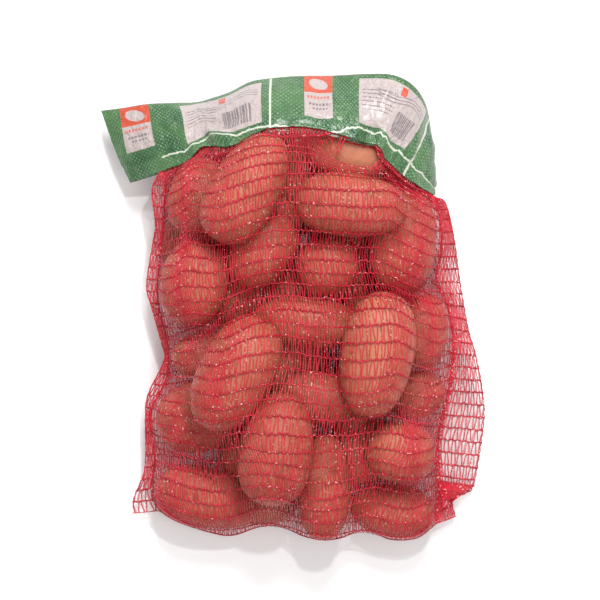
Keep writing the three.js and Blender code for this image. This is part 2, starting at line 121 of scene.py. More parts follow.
# The bag's outline from above. An edge is where the empty selvedge ends, and a seam is where the
# front and back sheets part to go round the potatoes.
LEFT_EDGE = [
    (-113, 116), (-120, 100), (-117, 72), (-119, 58), (-125, 20), (-121, 2), (-112, -30), (-110, -44),
    (-123, -71), (-126, -88), (-127, -136), (-137, -163), (-137, -176),
]
LEFT_SEAM = [
    (-108, 116), (-109, 82), (-115, 24), (-114, 0), (-107, -31), (-107, -58), (-120, -85), (-121, -103),
    (-118, -130), (-121, -152), (-115, -174),
]
RIGHT_SEAM = [
    (118, 97), (125, 76), (126, 50), (122, 24), (131, 4), (137, -30), (134, -65), (128, -90),
    (123, -118), (125, -150), (123, -185),
]
RIGHT_EDGE = [
    (122, 94), (130, 88), (137, 60), (143, 22), (150, -18), (157, -42), (164, -80), (163, -108),
    (155, -153), (145, -160), (137, -166), (140, -179),
]
BOTTOM_SEAM = [
    (-115, -174), (-96, -184), (-66, -193), (-50, -194), (-28, -187), (-10, -187), (10, -195),
    (27, -198), (42, -196), (58, -190), (70, -192), (84, -198), (106, -197), (123, -185),
]

# The header, from its left end to its right: x, y and z of its folded top edge, then of its open
# lower edge. It is a band of film about 58 high that drapes down from the mouth of the net.
HEADER = np.array([
    (-164, 169, 24, -138, 111, 30),
    (-145, 171, 32, -121, 116, 46),
    (-124, 174, 40, -103, 122, 60),
    (-99, 175, 42, -87, 127, 68),
    (-82, 176, 34, -75, 140, 76),
    (-69, 179, 44, -65, 137, 84),
    (-53, 184, 54, -52, 137, 92),
    (-36, 192, 62, -35, 146, 98),
    (-18, 195, 64, -18, 152, 100),
    (6, 197, 62, 6, 153, 99),
    (33, 197, 66, 33, 149, 99),
    (61, 198, 74, 55, 143, 98),
    (84, 197, 80, 71, 140, 95),
    (101, 189, 77, 79, 129, 92),
    (112, 175, 65, 90, 118, 86),
    (117, 157, 48, 100, 109, 79),
    (119, 139, 30, 109, 103, 71),
    (116, 122, 15, 119, 96, 62),
], dtype=float)
HEADER_TOP = HEADER[:, :3]
HEADER_LOW = HEADER[:, 3:]
HEADER_HEIGHT = 58.0
HEADER_BULGE = 4.0  # how far the film bows outwards halfway up
POCKET = 2.4  # from the middle to the inside of a ply, at the open lower edge
FOLD = 0.12  # share of the height, at the top, where the plies are one
MOUTH_LEFT = 1.5  # header rows between which the net hangs, counted along HEADER
MOUTH_RIGHT = 16.8
TUCK = 0.4  # share of the header's height that the net reaches up into it

SHEET = 0.7  # half thickness of the net where its two sheets lie together
THROAT = 1.8  # half thickness of the net where it enters the header
CLEAR = 0.8  # from a potato to the middle of the sheet over it
PRESSED = 1.6  # what is lower than this on the back sheet lies flat on the ground
SAG = 0.004  # how much the front sheet's weight pulls it down, per square mm of its mesh
SEAM_HEIGHT = 38.0  # height at which the side seams start
WRAP = 20.0  # how far the back sheet goes out past the mouth, under the header
UNDER_HEIGHT = 0.7  # height of its turn there, as a share of the mouth's
TURN_UNDER = 0.12  # share of the width over which the back sheet turns under from a seam
FRONT_LIP = 6.0  # how far the front sheet goes straight on from the mouth
BACK_LIP = 4.0  # how far the back sheet comes forward before it turns under the header
LIP_COLUMNS = 3  # columns over which both lips grow from each side seam
LEFT_FLAP = 2  # columns of the sheets across the left selvedge
BODY = 36  # columns across the heap
RIGHT_FLAP = 4  # columns across the right selvedge
ROWS = 50  # rows from the mouth to the bottom
TUCK_ROWS = 2  # rows inside the header
NET_LENGTH = 380.0  # from the mouth to the bottom, along the front sheet
GATHER_LEFT = (0.11, 0.045)  # share of the rows in that share of a side
GATHER_RIGHT = (0.17, 0.05)
SEAM_STARTS = (0.02, 0.99)  # where the side seams leave the mouth, as shares of its length
LEFT_DRAPE = (0.12, 1.0, 44.0, 0.0)  # a selvedge's droop, and its waves' height, pace and lag
RIGHT_DRAPE = (0.35, 1.5, 23.0, 2.0)
ROUNDS = 320  # rounds of pulling
DIP = 0.5  # how far the front sheet dips between potatoes, as a share of the depth to them
DIP_REACH = 5  # rows or columns over which the dip grows from the sheet's sides
DIP_EVENING = 3  # rounds of evening the dip out
DIP_ROUNDS = 4  # rounds of pulling after it
FINE_ROUNDS = 6  # rounds of pulling on the sheets with twice the rows and columns
FINER = 4  # how many times finer than those rows and columns the finished sheets are
GROUND_GAP = 1.3  # the back sheet stays this far above the ground, for the thickness of its chains
LEVEL = (0.6, 0.75)  # how far the front sheet's knit is evened out, seen from above, across and down
LEVEL_REACH = 4  # rows or columns over which that grows from the sheet's sides
HELD_ROWS = 4  # rows at the mouth that the last rounds of pulling leave alone
TUCK_OUT = 0.6  # how far out the tucked net gets inside the header, as a share of THROAT
LIP_UNDER = 0.5  # how far the net's lips stay inside the film's edge
LIP_ROWS = 10  # rows of the finished sheet that follow the film's edge
ABOVE_ALL = 400.0  # higher than anything on the bag
TINY = 1e-12  # keeps a division off nothing

COLUMNS = LEFT_FLAP + BODY + RIGHT_FLAP
FIRST = LEFT_FLAP  # column of the left seam
LAST = LEFT_FLAP + BODY  # column of the right seam

# ---------------------------------------------------------------- curves

LENGTH_STEPS = 400  # steps in which a curve's length is measured


def spline(points, places):
    """A smooth curve through the points. A place is 0 at the first point, 1 at the next, and so on."""
    points = np.asarray(points, float)
    places = np.atleast_1d(np.asarray(places, float))
    last = len(points) - 1
    start = np.clip(np.floor(places).astype(int), 0, last - 1)
    f = (places - start)[:, None]
    b, c = points[start], points[start + 1]
    a = np.where((start > 0)[:, None], points[np.maximum(start - 1, 0)], 2 * b - c)
    d = np.where((start < last - 1)[:, None], points[np.minimum(start + 2, last)], 2 * c - b)
    return 0.5 * (2 * b + (c - a) * f + (2 * a - 5 * b + 4 * c - d) * f**2 + (3 * b - a - 3 * c + d) * f**3)


def places_by_length(points, first, last, shares):
    """The places along the points, from one place to another, at the given shares of the length."""
    places = np.linspace(first, last, LENGTH_STEPS + 1)
    steps = np.linalg.norm(np.diff(spline(points, places), axis=0), axis=1)
    lengths = np.concatenate([[0], np.cumsum(steps)])
    return np.interp(np.asarray(shares) * lengths[-1], lengths, places)


def along_length(points, shares):
    """Points on the curve at the given shares of its length."""
    return spline(points, places_by_length(points, 0, len(points) - 1, shares))


def smooth(x):
    """From 0 to 1 as x does, with a soft start and end."""
    f = np.clip(x, 0.0, 1.0)
    return f * f * (3 - 2 * f)


def cos_sin(degrees):
    """The cosine and the sine of a turn."""
    return math.cos(math.radians(degrees)), math.sin(math.radians(degrees))


def header_point(places, down, out):
    """Points of the header. down is 0 at the fold and 1 at the open edge, out is towards the viewer."""
    places, down, out = np.broadcast_arrays(*np.atleast_1d(places, down, out))
    share = down[:, None]
    step = 0.001

    def flat(at):
        return spline(HEADER_TOP, at) * (1 - share) + spline(HEADER_LOW, at) * share

    along = flat(places + step) - flat(places - step)
    normal = np.cross(spline(HEADER_LOW, places) - spline(HEADER_TOP, places), along)
    normal /= np.linalg.norm(normal, axis=1)[:, None]
    normal *= np.where(normal[:, 2:] < 0, -1.0, 1.0)
    lift = HEADER_BULGE * np.sin(math.pi * np.minimum(down, 1)) + out
    return flat(places) + normal * lift[:, None]


# ---------------------------------------------------------------- the sheets of the net


def height_over(points):
    """How high the sheet lies over the potatoes at points seen from above."""
    highest = np.zeros(len(points))
    for x, y, z, length, width, height, turn, taper in POTATOES:
        cos, sin = cos_sin(turn)
        dx, dy = points[:, 0] - x, points[:, 1] - y
        a = (dx * cos + dy * sin) / (length + CLEAR)
        fat = 1 + taper * np.clip(a, -1, 1)
        b = (dy * cos - dx * sin) / ((width + CLEAR) * fat)
        room = np.maximum(1 - np.abs(a) ** POTATO_POWER - np.abs(b) ** POTATO_POWER, 0)
        top = z + (height + CLEAR) * fat * room ** (1 / POTATO_POWER)
        highest = np.where(room > 0, np.maximum(highest, top), highest)
    return highest


def push_out(points):
    """Moves the points out of every potato, along its shape's slope."""
    for x, y, z, length, width, height, turn, taper in POTATOES:
        reach = length + 2 * CLEAR
        near = np.flatnonzero(np.all(np.abs(points - (x, y, z)) < reach, axis=1))
        if not len(near):
            continue
        cos, sin = cos_sin(turn)
        dx, dy, dz = (points[near] - (x, y, z)).T
        long = length + CLEAR
        a = (dx * cos + dy * sin) / long
        fat = 1 + taper * np.clip(a, -1, 1)
        wide, high = (width + CLEAR) * fat, (height + CLEAR) * fat
        b = (dy * cos - dx * sin) / wide
        c = dz / high
        total = np.abs(a) ** POTATO_POWER + np.abs(b) ** POTATO_POWER + np.abs(c) ** POTATO_POWER
        depth = np.maximum(total ** (1 / POTATO_POWER), LEAST_DEPTH)
        steep = depth ** (1 - POTATO_POWER)
        ga = np.sign(a) * np.abs(a) ** (POTATO_POWER - 1) * steep / long
        gb = np.sign(b) * np.abs(b) ** (POTATO_POWER - 1) * steep / wide
        gc = np.sign(c) * np.abs(c) ** (POTATO_POWER - 1) * steep / high
        push = np.where(depth < 1, (1 - depth) / (ga * ga + gb * gb + gc * gc + TINY), 0)
        points[near, 0] += push * (ga * cos - gb * sin)
        points[near, 1] += push * (ga * sin + gb * cos)
        points[near, 2] += push * gc


def gathered(rows_share, length_share):
    """Shares of a side's length at which the rows meet it: they bunch together under the header."""
    v = np.linspace(0, 1, ROWS + 1)
    rest = length_share + (v - rows_share) * (1 - length_share) / (1 - rows_share)
    return np.where(v < rows_share, v * length_share / rows_share, rest)


def mouth_places():
    """Places along the header's lower edge for every column: the selvedges are drawn in close."""
    shares = np.interp(np.arange(COLUMNS + 1), [0, FIRST, LAST, COLUMNS], [0, *SEAM_STARTS, 1])
    return places_by_length(HEADER_LOW, MOUTH_LEFT, MOUTH_RIGHT, shares)


def back_path(mouth, bottom, shares):
    """The back sheet in one column: from the mouth out under the header, down, and along the ground."""
    path = np.array([
        mouth,
        (mouth[0], mouth[1] + WRAP, UNDER_HEIGHT * mouth[2]),
        (mouth[0], mouth[1] + WRAP, 0),
        (bottom[0], bottom[1] + 1, 0),
        (bottom[0], bottom[1], SEAM_HEIGHT),
    ])
    lengths = np.concatenate([[0], np.cumsum(np.linalg.norm(np.diff(path, axis=0), axis=1))])
    return np.stack([np.interp(shares * lengths[-1], lengths, path[:, axis]) for axis in range(3)], axis=1)


def lay_out(places):
    """The two sheets as first laid, between the mouth, the seams and the bottom, and their flat outline."""
    left_rows, right_rows = gathered(*GATHER_LEFT), gathered(*GATHER_RIGHT)
    left_edge, left_seam = along_length(LEFT_EDGE, left_rows), along_length(LEFT_SEAM, left_rows)
    right_seam, right_edge = along_length(RIGHT_SEAM, right_rows), along_length(RIGHT_EDGE, right_rows)
    u = np.linspace(0, 1, BODY + 1)
    v = np.linspace(0, 1, ROWS + 1)
    bottom = along_length(BOTTOM_SEAM, u)
    mouth = header_point(places, 1, 0)
    left_seam[0], right_seam[0] = mouth[FIRST, :2], mouth[LAST, :2]
    body = slice(FIRST, LAST + 1)
    top = mouth[body]

    def between(a, b, share):
        return a * (1 - share) + b * share

    uu, vv = u[None, :, None], v[:, None, None]
    across = between(left_seam[:, None], right_seam[:, None], uu)
    down = between(top[None, :, :2], bottom[None], vv)
    ends = between(left_seam[0], right_seam[0], uu), between(bottom[0], bottom[-1], uu)
    flat = across + down - between(*ends, vv)
    front = np.zeros((ROWS + 1, COLUMNS + 1, 3))
    front[:, body, :2] = flat
    front[:, body, 2] = np.maximum(height_over(flat.reshape(-1, 2)).reshape(ROWS + 1, -1), SEAM_HEIGHT)
    front[0, body, 2] = top[:, 2]
    back = front.copy()
    back[1:, body, 2] = 0
    under = np.stack([back_path(top[i], bottom[i], v) for i in range(BODY + 1)], axis=1)
    inside = smooth(np.minimum(u, 1 - u) / TURN_UNDER)[None, :, None]
    back[:, body] = between(back[:, body], under, inside)
    for sheet in (front, back):
        for i in range(LEFT_FLAP):
            sheet[:, i, :2] = between(left_edge, left_seam, i / LEFT_FLAP)
            sheet[:, i, 2] = SEAM_HEIGHT
        for i in range(1, RIGHT_FLAP + 1):
            sheet[:, LAST + i, :2] = between(right_seam, right_edge, i / RIGHT_FLAP)
            sheet[:, LAST + i, 2] = SEAM_HEIGHT
    return front, back, front[..., :2].copy()


def pull(sheet, weight, first, last):
    """Every inner point goes to the middle of its four neighbours, less its weight."""
    inner = slice(first + 1, last)
    before = sheet.copy()
    around = before[:-2, inner] + before[2:, inner]
    around = around + before[1:-1, first:last - 1] + before[1:-1, first + 2:last + 1]
    sheet[1:-1, inner] = around / 4
    sheet[1:-1, inner, 2] -= weight


def settle(front, back, seam, inner, mouth, bunched):
    """A seam finds its own height between the two sheets. Under the header it starts at the mouth."""
    middle = (front[inner][:, 2] + back[inner][:, 2]) / 2
    padded = np.concatenate([middle[:1], middle, middle[-1:]])
    level = np.maximum((padded[:-2] + 2 * middle + padded[2:]) / 4, SHEET)
    rows = (np.arange(len(middle)) + 1) / len(middle)
    height = mouth + (level - mouth) * smooth(rows / (2 * bunched))
    front[seam + (2,)] = height + SHEET
    back[seam + (2,)] = height - SHEET


def hang(front, back, seam, side, columns, drape):
    """An empty selvedge droops a little and waves."""
    droop, wave, pace, lag = drape
    v = np.linspace(0, 1, len(front))[1:]
    for i in range(1, columns + 1):
        share = i / columns
        to = seam + side * i
        width = np.linalg.norm(front[1:, seam, :2] - front[1:, to, :2], axis=1)
        waves = wave * np.sin(pace * v + lag * share) * share
        middle = (front[1:, seam, 2] + back[1:, seam, 2]) / 2 - droop * width * share + waves
        height = np.maximum(middle, SHEET)
        front[1:, to, 2] = height + SHEET
        back[1:, to, 2] = height - SHEET


def fit(front, back, first, last):
    """Pushes both sheets out of the potatoes, off the ground, and apart."""
    inner = (slice(1, -1), slice(first + 1, last))
    for sheet in (front, back):
        points = sheet[inner].reshape(-1, 3)
        push_out(points)
        sheet[inner] = points.reshape(sheet[inner].shape)
    back[inner + (2,)] = np.maximum(back[inner + (2,)], 0)
    front[inner + (2,)] = np.maximum(front[inner + (2,)], back[inner + (2,)] + 2 * SHEET)


def near_sides(rows, columns, step, reach):
    """1 in the middle of a sheet, falling to 0 at its seams, mouth and bottom."""
    row = np.arange(rows)[:, None] / step
    column = np.arange(columns)[None] / step
    across = smooth(np.minimum(column - FIRST, LAST - column) / reach)
    return across * smooth(np.minimum(row - 1, ROWS - row) / reach)


def dip(front):
    """Between potatoes the front sheet dips towards those below."""
    share = near_sides(ROWS + 1, COLUMNS + 1, 1, DIP_REACH)
    over = height_over(front.reshape(-1, 3)).reshape(share.shape)
    depth = DIP * np.maximum(front[..., 2] - over, 0) * share
    inner = (slice(1, -1), slice(FIRST + 1, LAST))
    for _ in range(DIP_EVENING):
        before = depth.copy()
        beside = before[1:-1, FIRST:LAST - 1] + before[1:-1, FIRST + 2:LAST + 1]
        above = before[:-2, FIRST + 1:LAST] + before[2:, FIRST + 1:LAST]
        depth[inner] = (4 * before[inner] + beside + above) / 8
    front[..., 2] -= depth * share


def finer(sheet):
    """Twice the rows and columns, on smooth curves through the points."""
    rows, columns, width = sheet.shape
    more = np.linspace(0, rows - 1, 2 * rows - 1)
    tall = spline(sheet.reshape(rows, -1), more).reshape(len(more), columns, width)
    turned = tall.transpose(1, 0, 2)
    more = np.linspace(0, columns - 1, 2 * columns - 1)
    return spline(turned.reshape(columns, -1), more).reshape(len(more), -1, width).transpose(1, 0, 2)


def sheet_tree(sheet):
    """A sheet that can be looked down on, to find its height."""
    rows, columns = sheet.shape[:2]
    return BVHTree.FromPolygons(sheet.reshape(-1, 3).tolist(), grid_faces(rows, columns).tolist())


def on_sheet(tree, x, y):
    """The point of a sheet under x, y, or None beside it."""
    return tree.ray_cast(Vector((x, y, ABOVE_ALL)), Vector((0, 0, -1)))[0]


def level_rows(sheet, flat):
    """Slides the knit over the front sheet towards even rows as seen from above."""
    rows, columns = sheet.shape[:2]
    share = near_sides(rows, columns, FINER, LEVEL_REACH)
    wanted = sheet[..., :2] + (flat - sheet[..., :2]) * share[..., None] * LEVEL
    tree = sheet_tree(sheet)
    moved = sheet.copy()
    for i, j in np.argwhere(share > 0):
        hit = on_sheet(tree, *wanted[i, j])
        if hit:
            moved[i, j] = hit
    return moved


def tucked(sheet, places, side):
    """The sheet with rows added that reach up into the header, between the crumples of its plies."""
    rows = TUCK_ROWS * FINER
    columns = np.interp(np.arange(sheet.shape[1]) / FINER, np.arange(COLUMNS + 1), places)
    inside = []
    for i in range(rows):
        down = np.full(len(columns), 1 - TUCK * (rows - i) / rows)
        out = TUCK_OUT * THROAT * side * i / rows
        inside.append(header_point(columns, down, out + crumpled(columns, down)))
    edge = np.ones(len(columns))
    lift = np.minimum(crumpled(columns, edge), crumpled(columns, edge * FILM_EDGE)) - LIP_UNDER * side
    moved = header_point(columns, edge, lift) - header_point(columns, edge, 0)
    for i in range(LIP_ROWS):
        sheet[i] += moved * smooth(1 - i / LIP_ROWS)
    body = (slice(1, LIP_ROWS), slice(FINER * FIRST, FINER * LAST))
    points = sheet[body].reshape(-1, 3)
    push_out(points)
    sheet[body] = points.reshape(sheet[body].shape)
    return np.concatenate([inside, sheet])


def draw_tight():
    """Both sheets drawn over the heap."""
    places = mouth_places()
    front, back, flat = lay_out(places)
    columns = np.arange(FIRST + 1, LAST)
    opening = smooth(np.minimum(columns - FIRST, LAST - columns) / LIP_COLUMNS)
    mouth_height = header_point(places, 1, 0)[:, 2]
    body = slice(FIRST + 1, LAST)
    below = slice(1, None)

    def settle_seams():
        settle(front, back, (below, FIRST), (below, FIRST + 1), mouth_height[FIRST], GATHER_LEFT[0])
        settle(front, back, (below, LAST), (below, LAST - 1), mouth_height[LAST], GATHER_RIGHT[0])
        settle(front, back, (-1, body), (-2, body), 0.0, TINY)

    def hold_lips():
        lip = 1 + FRONT_LIP * opening
        front[1, body] = header_point(places[columns], 1 + lip / HEADER_HEIGHT, THROAT)
        lip = 1 + BACK_LIP * opening
        out = -THROAT - BACK_LIP * opening
        back[1, body] = header_point(places[columns], 1 + lip / HEADER_HEIGHT, out)

    cell = NET_LENGTH / ROWS
    for _ in range(ROUNDS):
        pull(front, SAG * cell * cell, FIRST, LAST)
        pull(back, 0.0, FIRST, LAST)
        settle_seams()
        fit(front, back, FIRST, LAST)
        hold_lips()
    dip(front)
    for _ in range(DIP_ROUNDS):
        pull(front, 0.0, FIRST, LAST)
        fit(front, back, FIRST, LAST)
        hold_lips()
    back[..., 2][back[..., 2] < PRESSED] = 0
    hang(front, back, FIRST, -1, LEFT_FLAP, LEFT_DRAPE)
    hang(front, back, LAST, 1, RIGHT_FLAP, RIGHT_DRAPE)
    front[0] = header_point(places, 1, THROAT)
    back[0] = header_point(places, 1, -THROAT)
    front, back = finer(front), finer(back)
    held = [(sheet, sheet[:HELD_ROWS].copy()) for sheet in (front, back)]
    for _ in range(FINE_ROUNDS):
        pull(front, 0.0, 2 * FIRST, 2 * LAST)
        pull(back, 0.0, 2 * FIRST, 2 * LAST)
        fit(front, back, 2 * FIRST, 2 * LAST)
        for sheet, rows in held:
            sheet[:HELD_ROWS] = rows
    front = level_rows(finer(front), finer(finer(flat)))
    sheets = tucked(front, places, 1), tucked(finer(back), places, -1)
    for sheet in sheets:
        sheet[..., 2] = np.maximum(sheet[..., 2], GROUND_GAP)
    return sheets


# ---------------------------------------------------------------- meshes and nodes


def add_object(name, data):
    """An object in the scene, at the origin."""
    made = bpy.data.objects.new(name, data)
    bpy.context.scene.collection.objects.link(made)
    return made


def make_mesh(name, points, faces, material=None):
    """A smooth mesh in metres from points in millimetres."""
    mesh = bpy.data.meshes.new(name)
    faces = faces.tolist() if isinstance(faces, np.ndarray) else faces
    mesh.from_pydata((np.asarray(points) * MM).tolist(), [], faces)
    mesh.shade_smooth()
    if material:
        mesh.materials.append(material)
    return mesh


def add_uv(mesh, name, values):
    """A UV map from two values for each point."""
    layer = mesh.uv_layers.new(name=name)
    corner = np.empty(len(mesh.loops), dtype=np.int32)
    mesh.loops.foreach_get("vertex_index", corner)
    layer.data.foreach_set("uv", np.asarray(values)[corner].ravel())


def grid_faces(rows, columns, wrap=False):
    """Quads between the points of a grid, row by row. wrap joins the last column to the first."""
    i = np.arange(rows - 1)[:, None] * columns
    j = np.arange(columns if wrap else columns - 1)[None]
    ahead = (j + 1) % columns
    return np.stack([i + j, i + columns + j, i + columns + ahead, i + ahead], axis=-1).reshape(-1, 4)


class Value:
    """A node's output to reckon with. Each sign adds a Math node to its tree."""

    def __init__(self, socket):
        self.socket = socket
        self.tree = socket.id_data

    def __add__(self, other):
        return maths("ADD", self, other)

    def __sub__(self, other):
        return maths("SUBTRACT", self, other)

    def __rsub__(self, other):
        return maths("SUBTRACT", other, self)

    def __mul__(self, other):
        return maths("MULTIPLY", self, other)

    def __truediv__(self, other):
        return maths("DIVIDE", self, other)

    def __mod__(self, other):
        return maths("FLOORED_MODULO", self, other)


def connect(made, inputs):
    """Gives a node's sockets, by name or number, a Value of another node or a constant."""
    for name, value in inputs.items():
        if isinstance(value, Value):
            value.tree.links.new(value.socket, made.inputs[name])
        else:
            made.inputs[name].default_value = value


def node(tree, kind, inputs=None, **settings):
    """Adds a node."""
    made = tree.nodes.new(kind)
    for name, value in settings.items():
        setattr(made, name, value)
    connect(made, inputs or {})
    return made


def output(tree, kind, inputs=None, which=0, **settings):
    """Adds a node and gives its first output, or another one by name or number."""
    return Value(node(tree, kind, inputs, **settings).outputs[which])


def maths(operation, *values, clamp=False):
    """A Math node on Values and numbers, in the tree of the Values."""
    tree = next(value.tree for value in values if isinstance(value, Value))
    return output(tree, "ShaderNodeMath", dict(enumerate(values)), operation=operation, use_clamp=clamp)


def vectors(operation, *values):
    """A Vector Math node on Values and constants, the first of which is a Value."""
    return output(values[0].tree, "ShaderNodeVectorMath", dict(enumerate(values)), operation=operation)


def combine(*parts):
    """A vector from up to three Values and numbers."""
    tree = next(part.tree for part in parts if isinstance(part, Value))
    return output(tree, "ShaderNodeCombineXYZ", dict(enumerate(parts)))


def split(vector):
    """A vector's x, y and z."""
    return [Value(part) for part in node(vector.tree, "ShaderNodeSeparateXYZ", {0: vector}).outputs]


def noise_at(where, scale, detail):
    """A noise at a place, from 0 to 1."""
    return output(where.tree, "ShaderNodeTexNoise", {"Vector": where, "Scale": scale, "Detail": detail})


def given_sizes(tree):
    """What goes into a group, by name."""
    sockets = node(tree, "NodeGroupInput").outputs
    return {socket.name: Value(socket) for socket in sockets if socket.name}


# ---------------------------------------------------------------- the knit

KNIT_ROWS = 33  # chains across the bag, of which the first two are inside the header
TUCK_KNIT = 2  # those
STITCHES = 150  # threads side by side, selvedges included
LEFT_STITCHES = 6  # of them in the left selvedge
RIGHT_STITCHES = 13

SHEET_MARGIN = 1e-4  # share of the sheet along its borders that the knit keeps off
SHIFTS = 50.0  # how far apart strands may lie in the noise that bends them
WANDER_PACE = 0.16  # how fast that noise changes along a chain, per stitch
SCALLOP_PACE = 0.5
CORD_PACE = 0.7

# Widths, thicknesses and heights are in metres. Slants, bows and swings are in stitches or rows.
THREADS = {
    "Stitches": STITCHES, "Rows": KNIT_ROWS, "Width": 0.00105, "Thickness": 0.00016,
    "Lean": 0.26, "Bow": 0.14, "Zigzag": 0.15, "Raised": 0.0, "Steps": 5, "Seed": 1,
}
CHAINS = {
    "Stitches": STITCHES, "Rows": KNIT_ROWS, "Width": 0.00065, "Thickness": 0.0005,
    "Twist Across": 0.03, "Twist Up": 0.0003, "Wander": 0.10, "Scallop": 0.10,
    "Raised": 0.0002, "Phase": 0.0, "Steps": 4, "Seed": 4,
}
CORDS = {
    "Stitches": STITCHES, "Rows": KNIT_ROWS, "Width": 0.0007, "Thickness": 0.0005,
    "At": 0.0, "Spread": 0.5, "Strands": 3, "Turns": 1.5, "Raised": 0.0004, "Steps": 10, "Seed": 9,
}
EDGE_IN = 0.3  # how far in from the border the cord of an edge runs
# Cords down the front sheet: name, the stitch they follow, strands, and how far those swing.
SEAMS = [
    ("net_left_seam", LEFT_STITCHES, 2, 0.5),
    ("net_right_seam", STITCHES - RIGHT_STITCHES, 5, 1.3),
    ("net_left_edge", EDGE_IN, 1, 0.1),
    ("net_right_edge", STITCHES - EDGE_IN, 1, 0.1),
]
FRONT_SEED = 1
BACK_SEED = 20
CHAIN_SEED = 5  # what the chains' seed is more than the threads'
WORKING_VALUES = ("top", "foot", "bow", "shift", "up", "outwards")  # what the trees store on their way


def sheet_object(name, points, u, v):
    """A sheet as a mesh whose UV map gives the knit's place on it, as shares across and down."""
    rows, columns = points.shape[:2]
    mesh = make_mesh(name, points.reshape(-1, 3), grid_faces(rows, columns))
    across, down = np.meshgrid(u, v)
    add_uv(mesh, "knit", np.stack([across, down], axis=-1).reshape(-1, 2))
    return add_object(name, mesh)


def net_object(name, sheet):
    """One of the bag's two sheets, with its stitches shared out between the selvedges and the body."""
    rows, columns = sheet.shape[:2]
    ends = [0, FIRST, LAST, COLUMNS]
    stitches = [0, LEFT_STITCHES, STITCHES - RIGHT_STITCHES, STITCHES]
    u = np.interp(np.linspace(0, COLUMNS, columns), ends, stitches) / STITCHES
    v = np.interp(np.linspace(-TUCK_ROWS, ROWS, rows), [-TUCK_ROWS, 0, ROWS], [0, TUCK_KNIT, KNIT_ROWS])
    return sheet_object(name, sheet, u, v / KNIT_ROWS)


def knit_tree(name, sizes):
    """A node group with a sheet going in, a mesh coming out, and a named input for each size."""
    tree = bpy.data.node_groups.new(name, "GeometryNodeTree")
    face = tree.interface
    face.new_socket("Geometry", in_out="INPUT", socket_type="NodeSocketGeometry")
    for size, value in sizes.items():
        kind = "NodeSocketInt" if isinstance(value, int) else "NodeSocketFloat"
        face.new_socket(size, in_out="INPUT", socket_type=kind).default_value = value
    face.new_socket("Material", in_out="INPUT", socket_type="NodeSocketMaterial")
    face.new_socket("Geometry", in_out="OUTPUT", socket_type="NodeSocketGeometry")
    return tree, given_sizes(tree)


def store(geometry, name, value, domain="POINT", kind="FLOAT"):
    """Stores a value on the geometry, and gives the geometry and the stored value."""
    tree = geometry.tree
    inputs = {"Geometry": geometry, "Name": name, "Value": value}
    kept = output(tree, "GeometryNodeStoreNamedAttribute", inputs, data_type=kind, domain=domain)
    return kept, output(tree, "GeometryNodeInputNamedAttribute", {"Name": name}, data_type=kind)


def random_on(geometry, name, low, high, seed):
    """Stores a random number on each instance, and gives the geometry and the number."""
    inputs = {2: low, 3: high, "Seed": seed}
    value = output(geometry.tree, "FunctionNodeRandomValue", inputs, which=1, data_type="FLOAT")
    return store(geometry, name, value, domain="INSTANCE")


def line_copies(points, end, count):
    """At each point a straight line from 0 to the end, with that many points of its own."""
    tree = points.tree
    line = output(tree, "GeometryNodeCurvePrimitiveLine", {"Start": (0, 0, 0), "End": end})
    line = output(tree, "GeometryNodeResampleCurve", {"Curve": line, "Count": count})
    return output(tree, "GeometryNodeInstanceOnPoints", {"Points": points, "Instance": line})


def realized(copies):
    """Instances made real."""
    return output(copies.tree, "GeometryNodeRealizeInstances", {0: copies})


def position(tree):
    """The x, y and z of what a node works on."""
    return split(output(tree, "GeometryNodeInputPosition"))


def moved_by(curves, aside):
    """The geometry moved by a vector."""
    return output(curves.tree, "GeometryNodeSetPosition", {"Geometry": curves, "Offset": aside})


def moved_to(curves, place):
    """The geometry moved to a place, point by point."""
    return output(curves.tree, "GeometryNodeSetPosition", {"Geometry": curves, "Position": place})


def lay_on_sheet(given, curves, raised):
    """Moves curves from knit coordinates, stitches and rows, onto the sheet. raised lifts them off it."""
    tree = curves.tree
    place = output(tree, "GeometryNodeInputPosition")
    share = vectors("DIVIDE", place, combine(given["Stitches"], given["Rows"], 1.0))
    first, last = SHEET_MARGIN, 1 - SHEET_MARGIN
    share = vectors("MAXIMUM", share, (first, first, 0.0))
    share = vectors("MINIMUM", share, (last, last, 0.0))
    kind = "FLOAT_VECTOR"
    knit = output(tree, "GeometryNodeInputNamedAttribute", {"Name": "knit"}, data_type=kind)
    found = []
    for field in ("GeometryNodeInputPosition", "GeometryNodeInputNormal"):
        value = output(tree, field)
        inputs = {"Mesh": given["Geometry"], "Value": value, "UV Map": knit, "Sample UV": share}
        found.append(output(tree, "GeometryNodeSampleUVSurface", inputs, data_type=kind))
    place, normal = found
    kept, outwards = store(curves, "outwards", normal, kind=kind)
    lift = output(tree, "ShaderNodeVectorMath", {0: normal, "Scale": raised}, operation="SCALE")
    turned = {"Curve": moved_to(kept, vectors("ADD", place, lift)), "Normal": outwards}
    return output(tree, "GeometryNodeSetCurveNormal", turned, mode="FREE")


def sweep(given, curves, raised):
    """Lays curves on the sheet, gives them a flat section and the material, and ends the tree."""
    tree = curves.tree
    size = {"Width": given["Thickness"], "Height": given["Width"]}
    section = output(tree, "GeometryNodeCurvePrimitiveQuadrilateral", size)
    laid = lay_on_sheet(given, curves, raised)
    swept = {"Curve": laid, "Profile Curve": section, "Fill Caps": True}
    real = realized(output(tree, "GeometryNodeCurveToMesh", swept))
    shaded = output(tree, "GeometryNodeSetMaterial", {0: real, "Material": given["Material"]})
    node(tree, "NodeGroupOutput", {0: shaded})


def sweep_twisted(given, curves, turn, height):
    """The same for strands that go up and down by a height as they turn."""
    curves, up = store(curves, "up", maths("COSINE", turn) * height)
    sweep(given, curves, given["Raised"] + up)


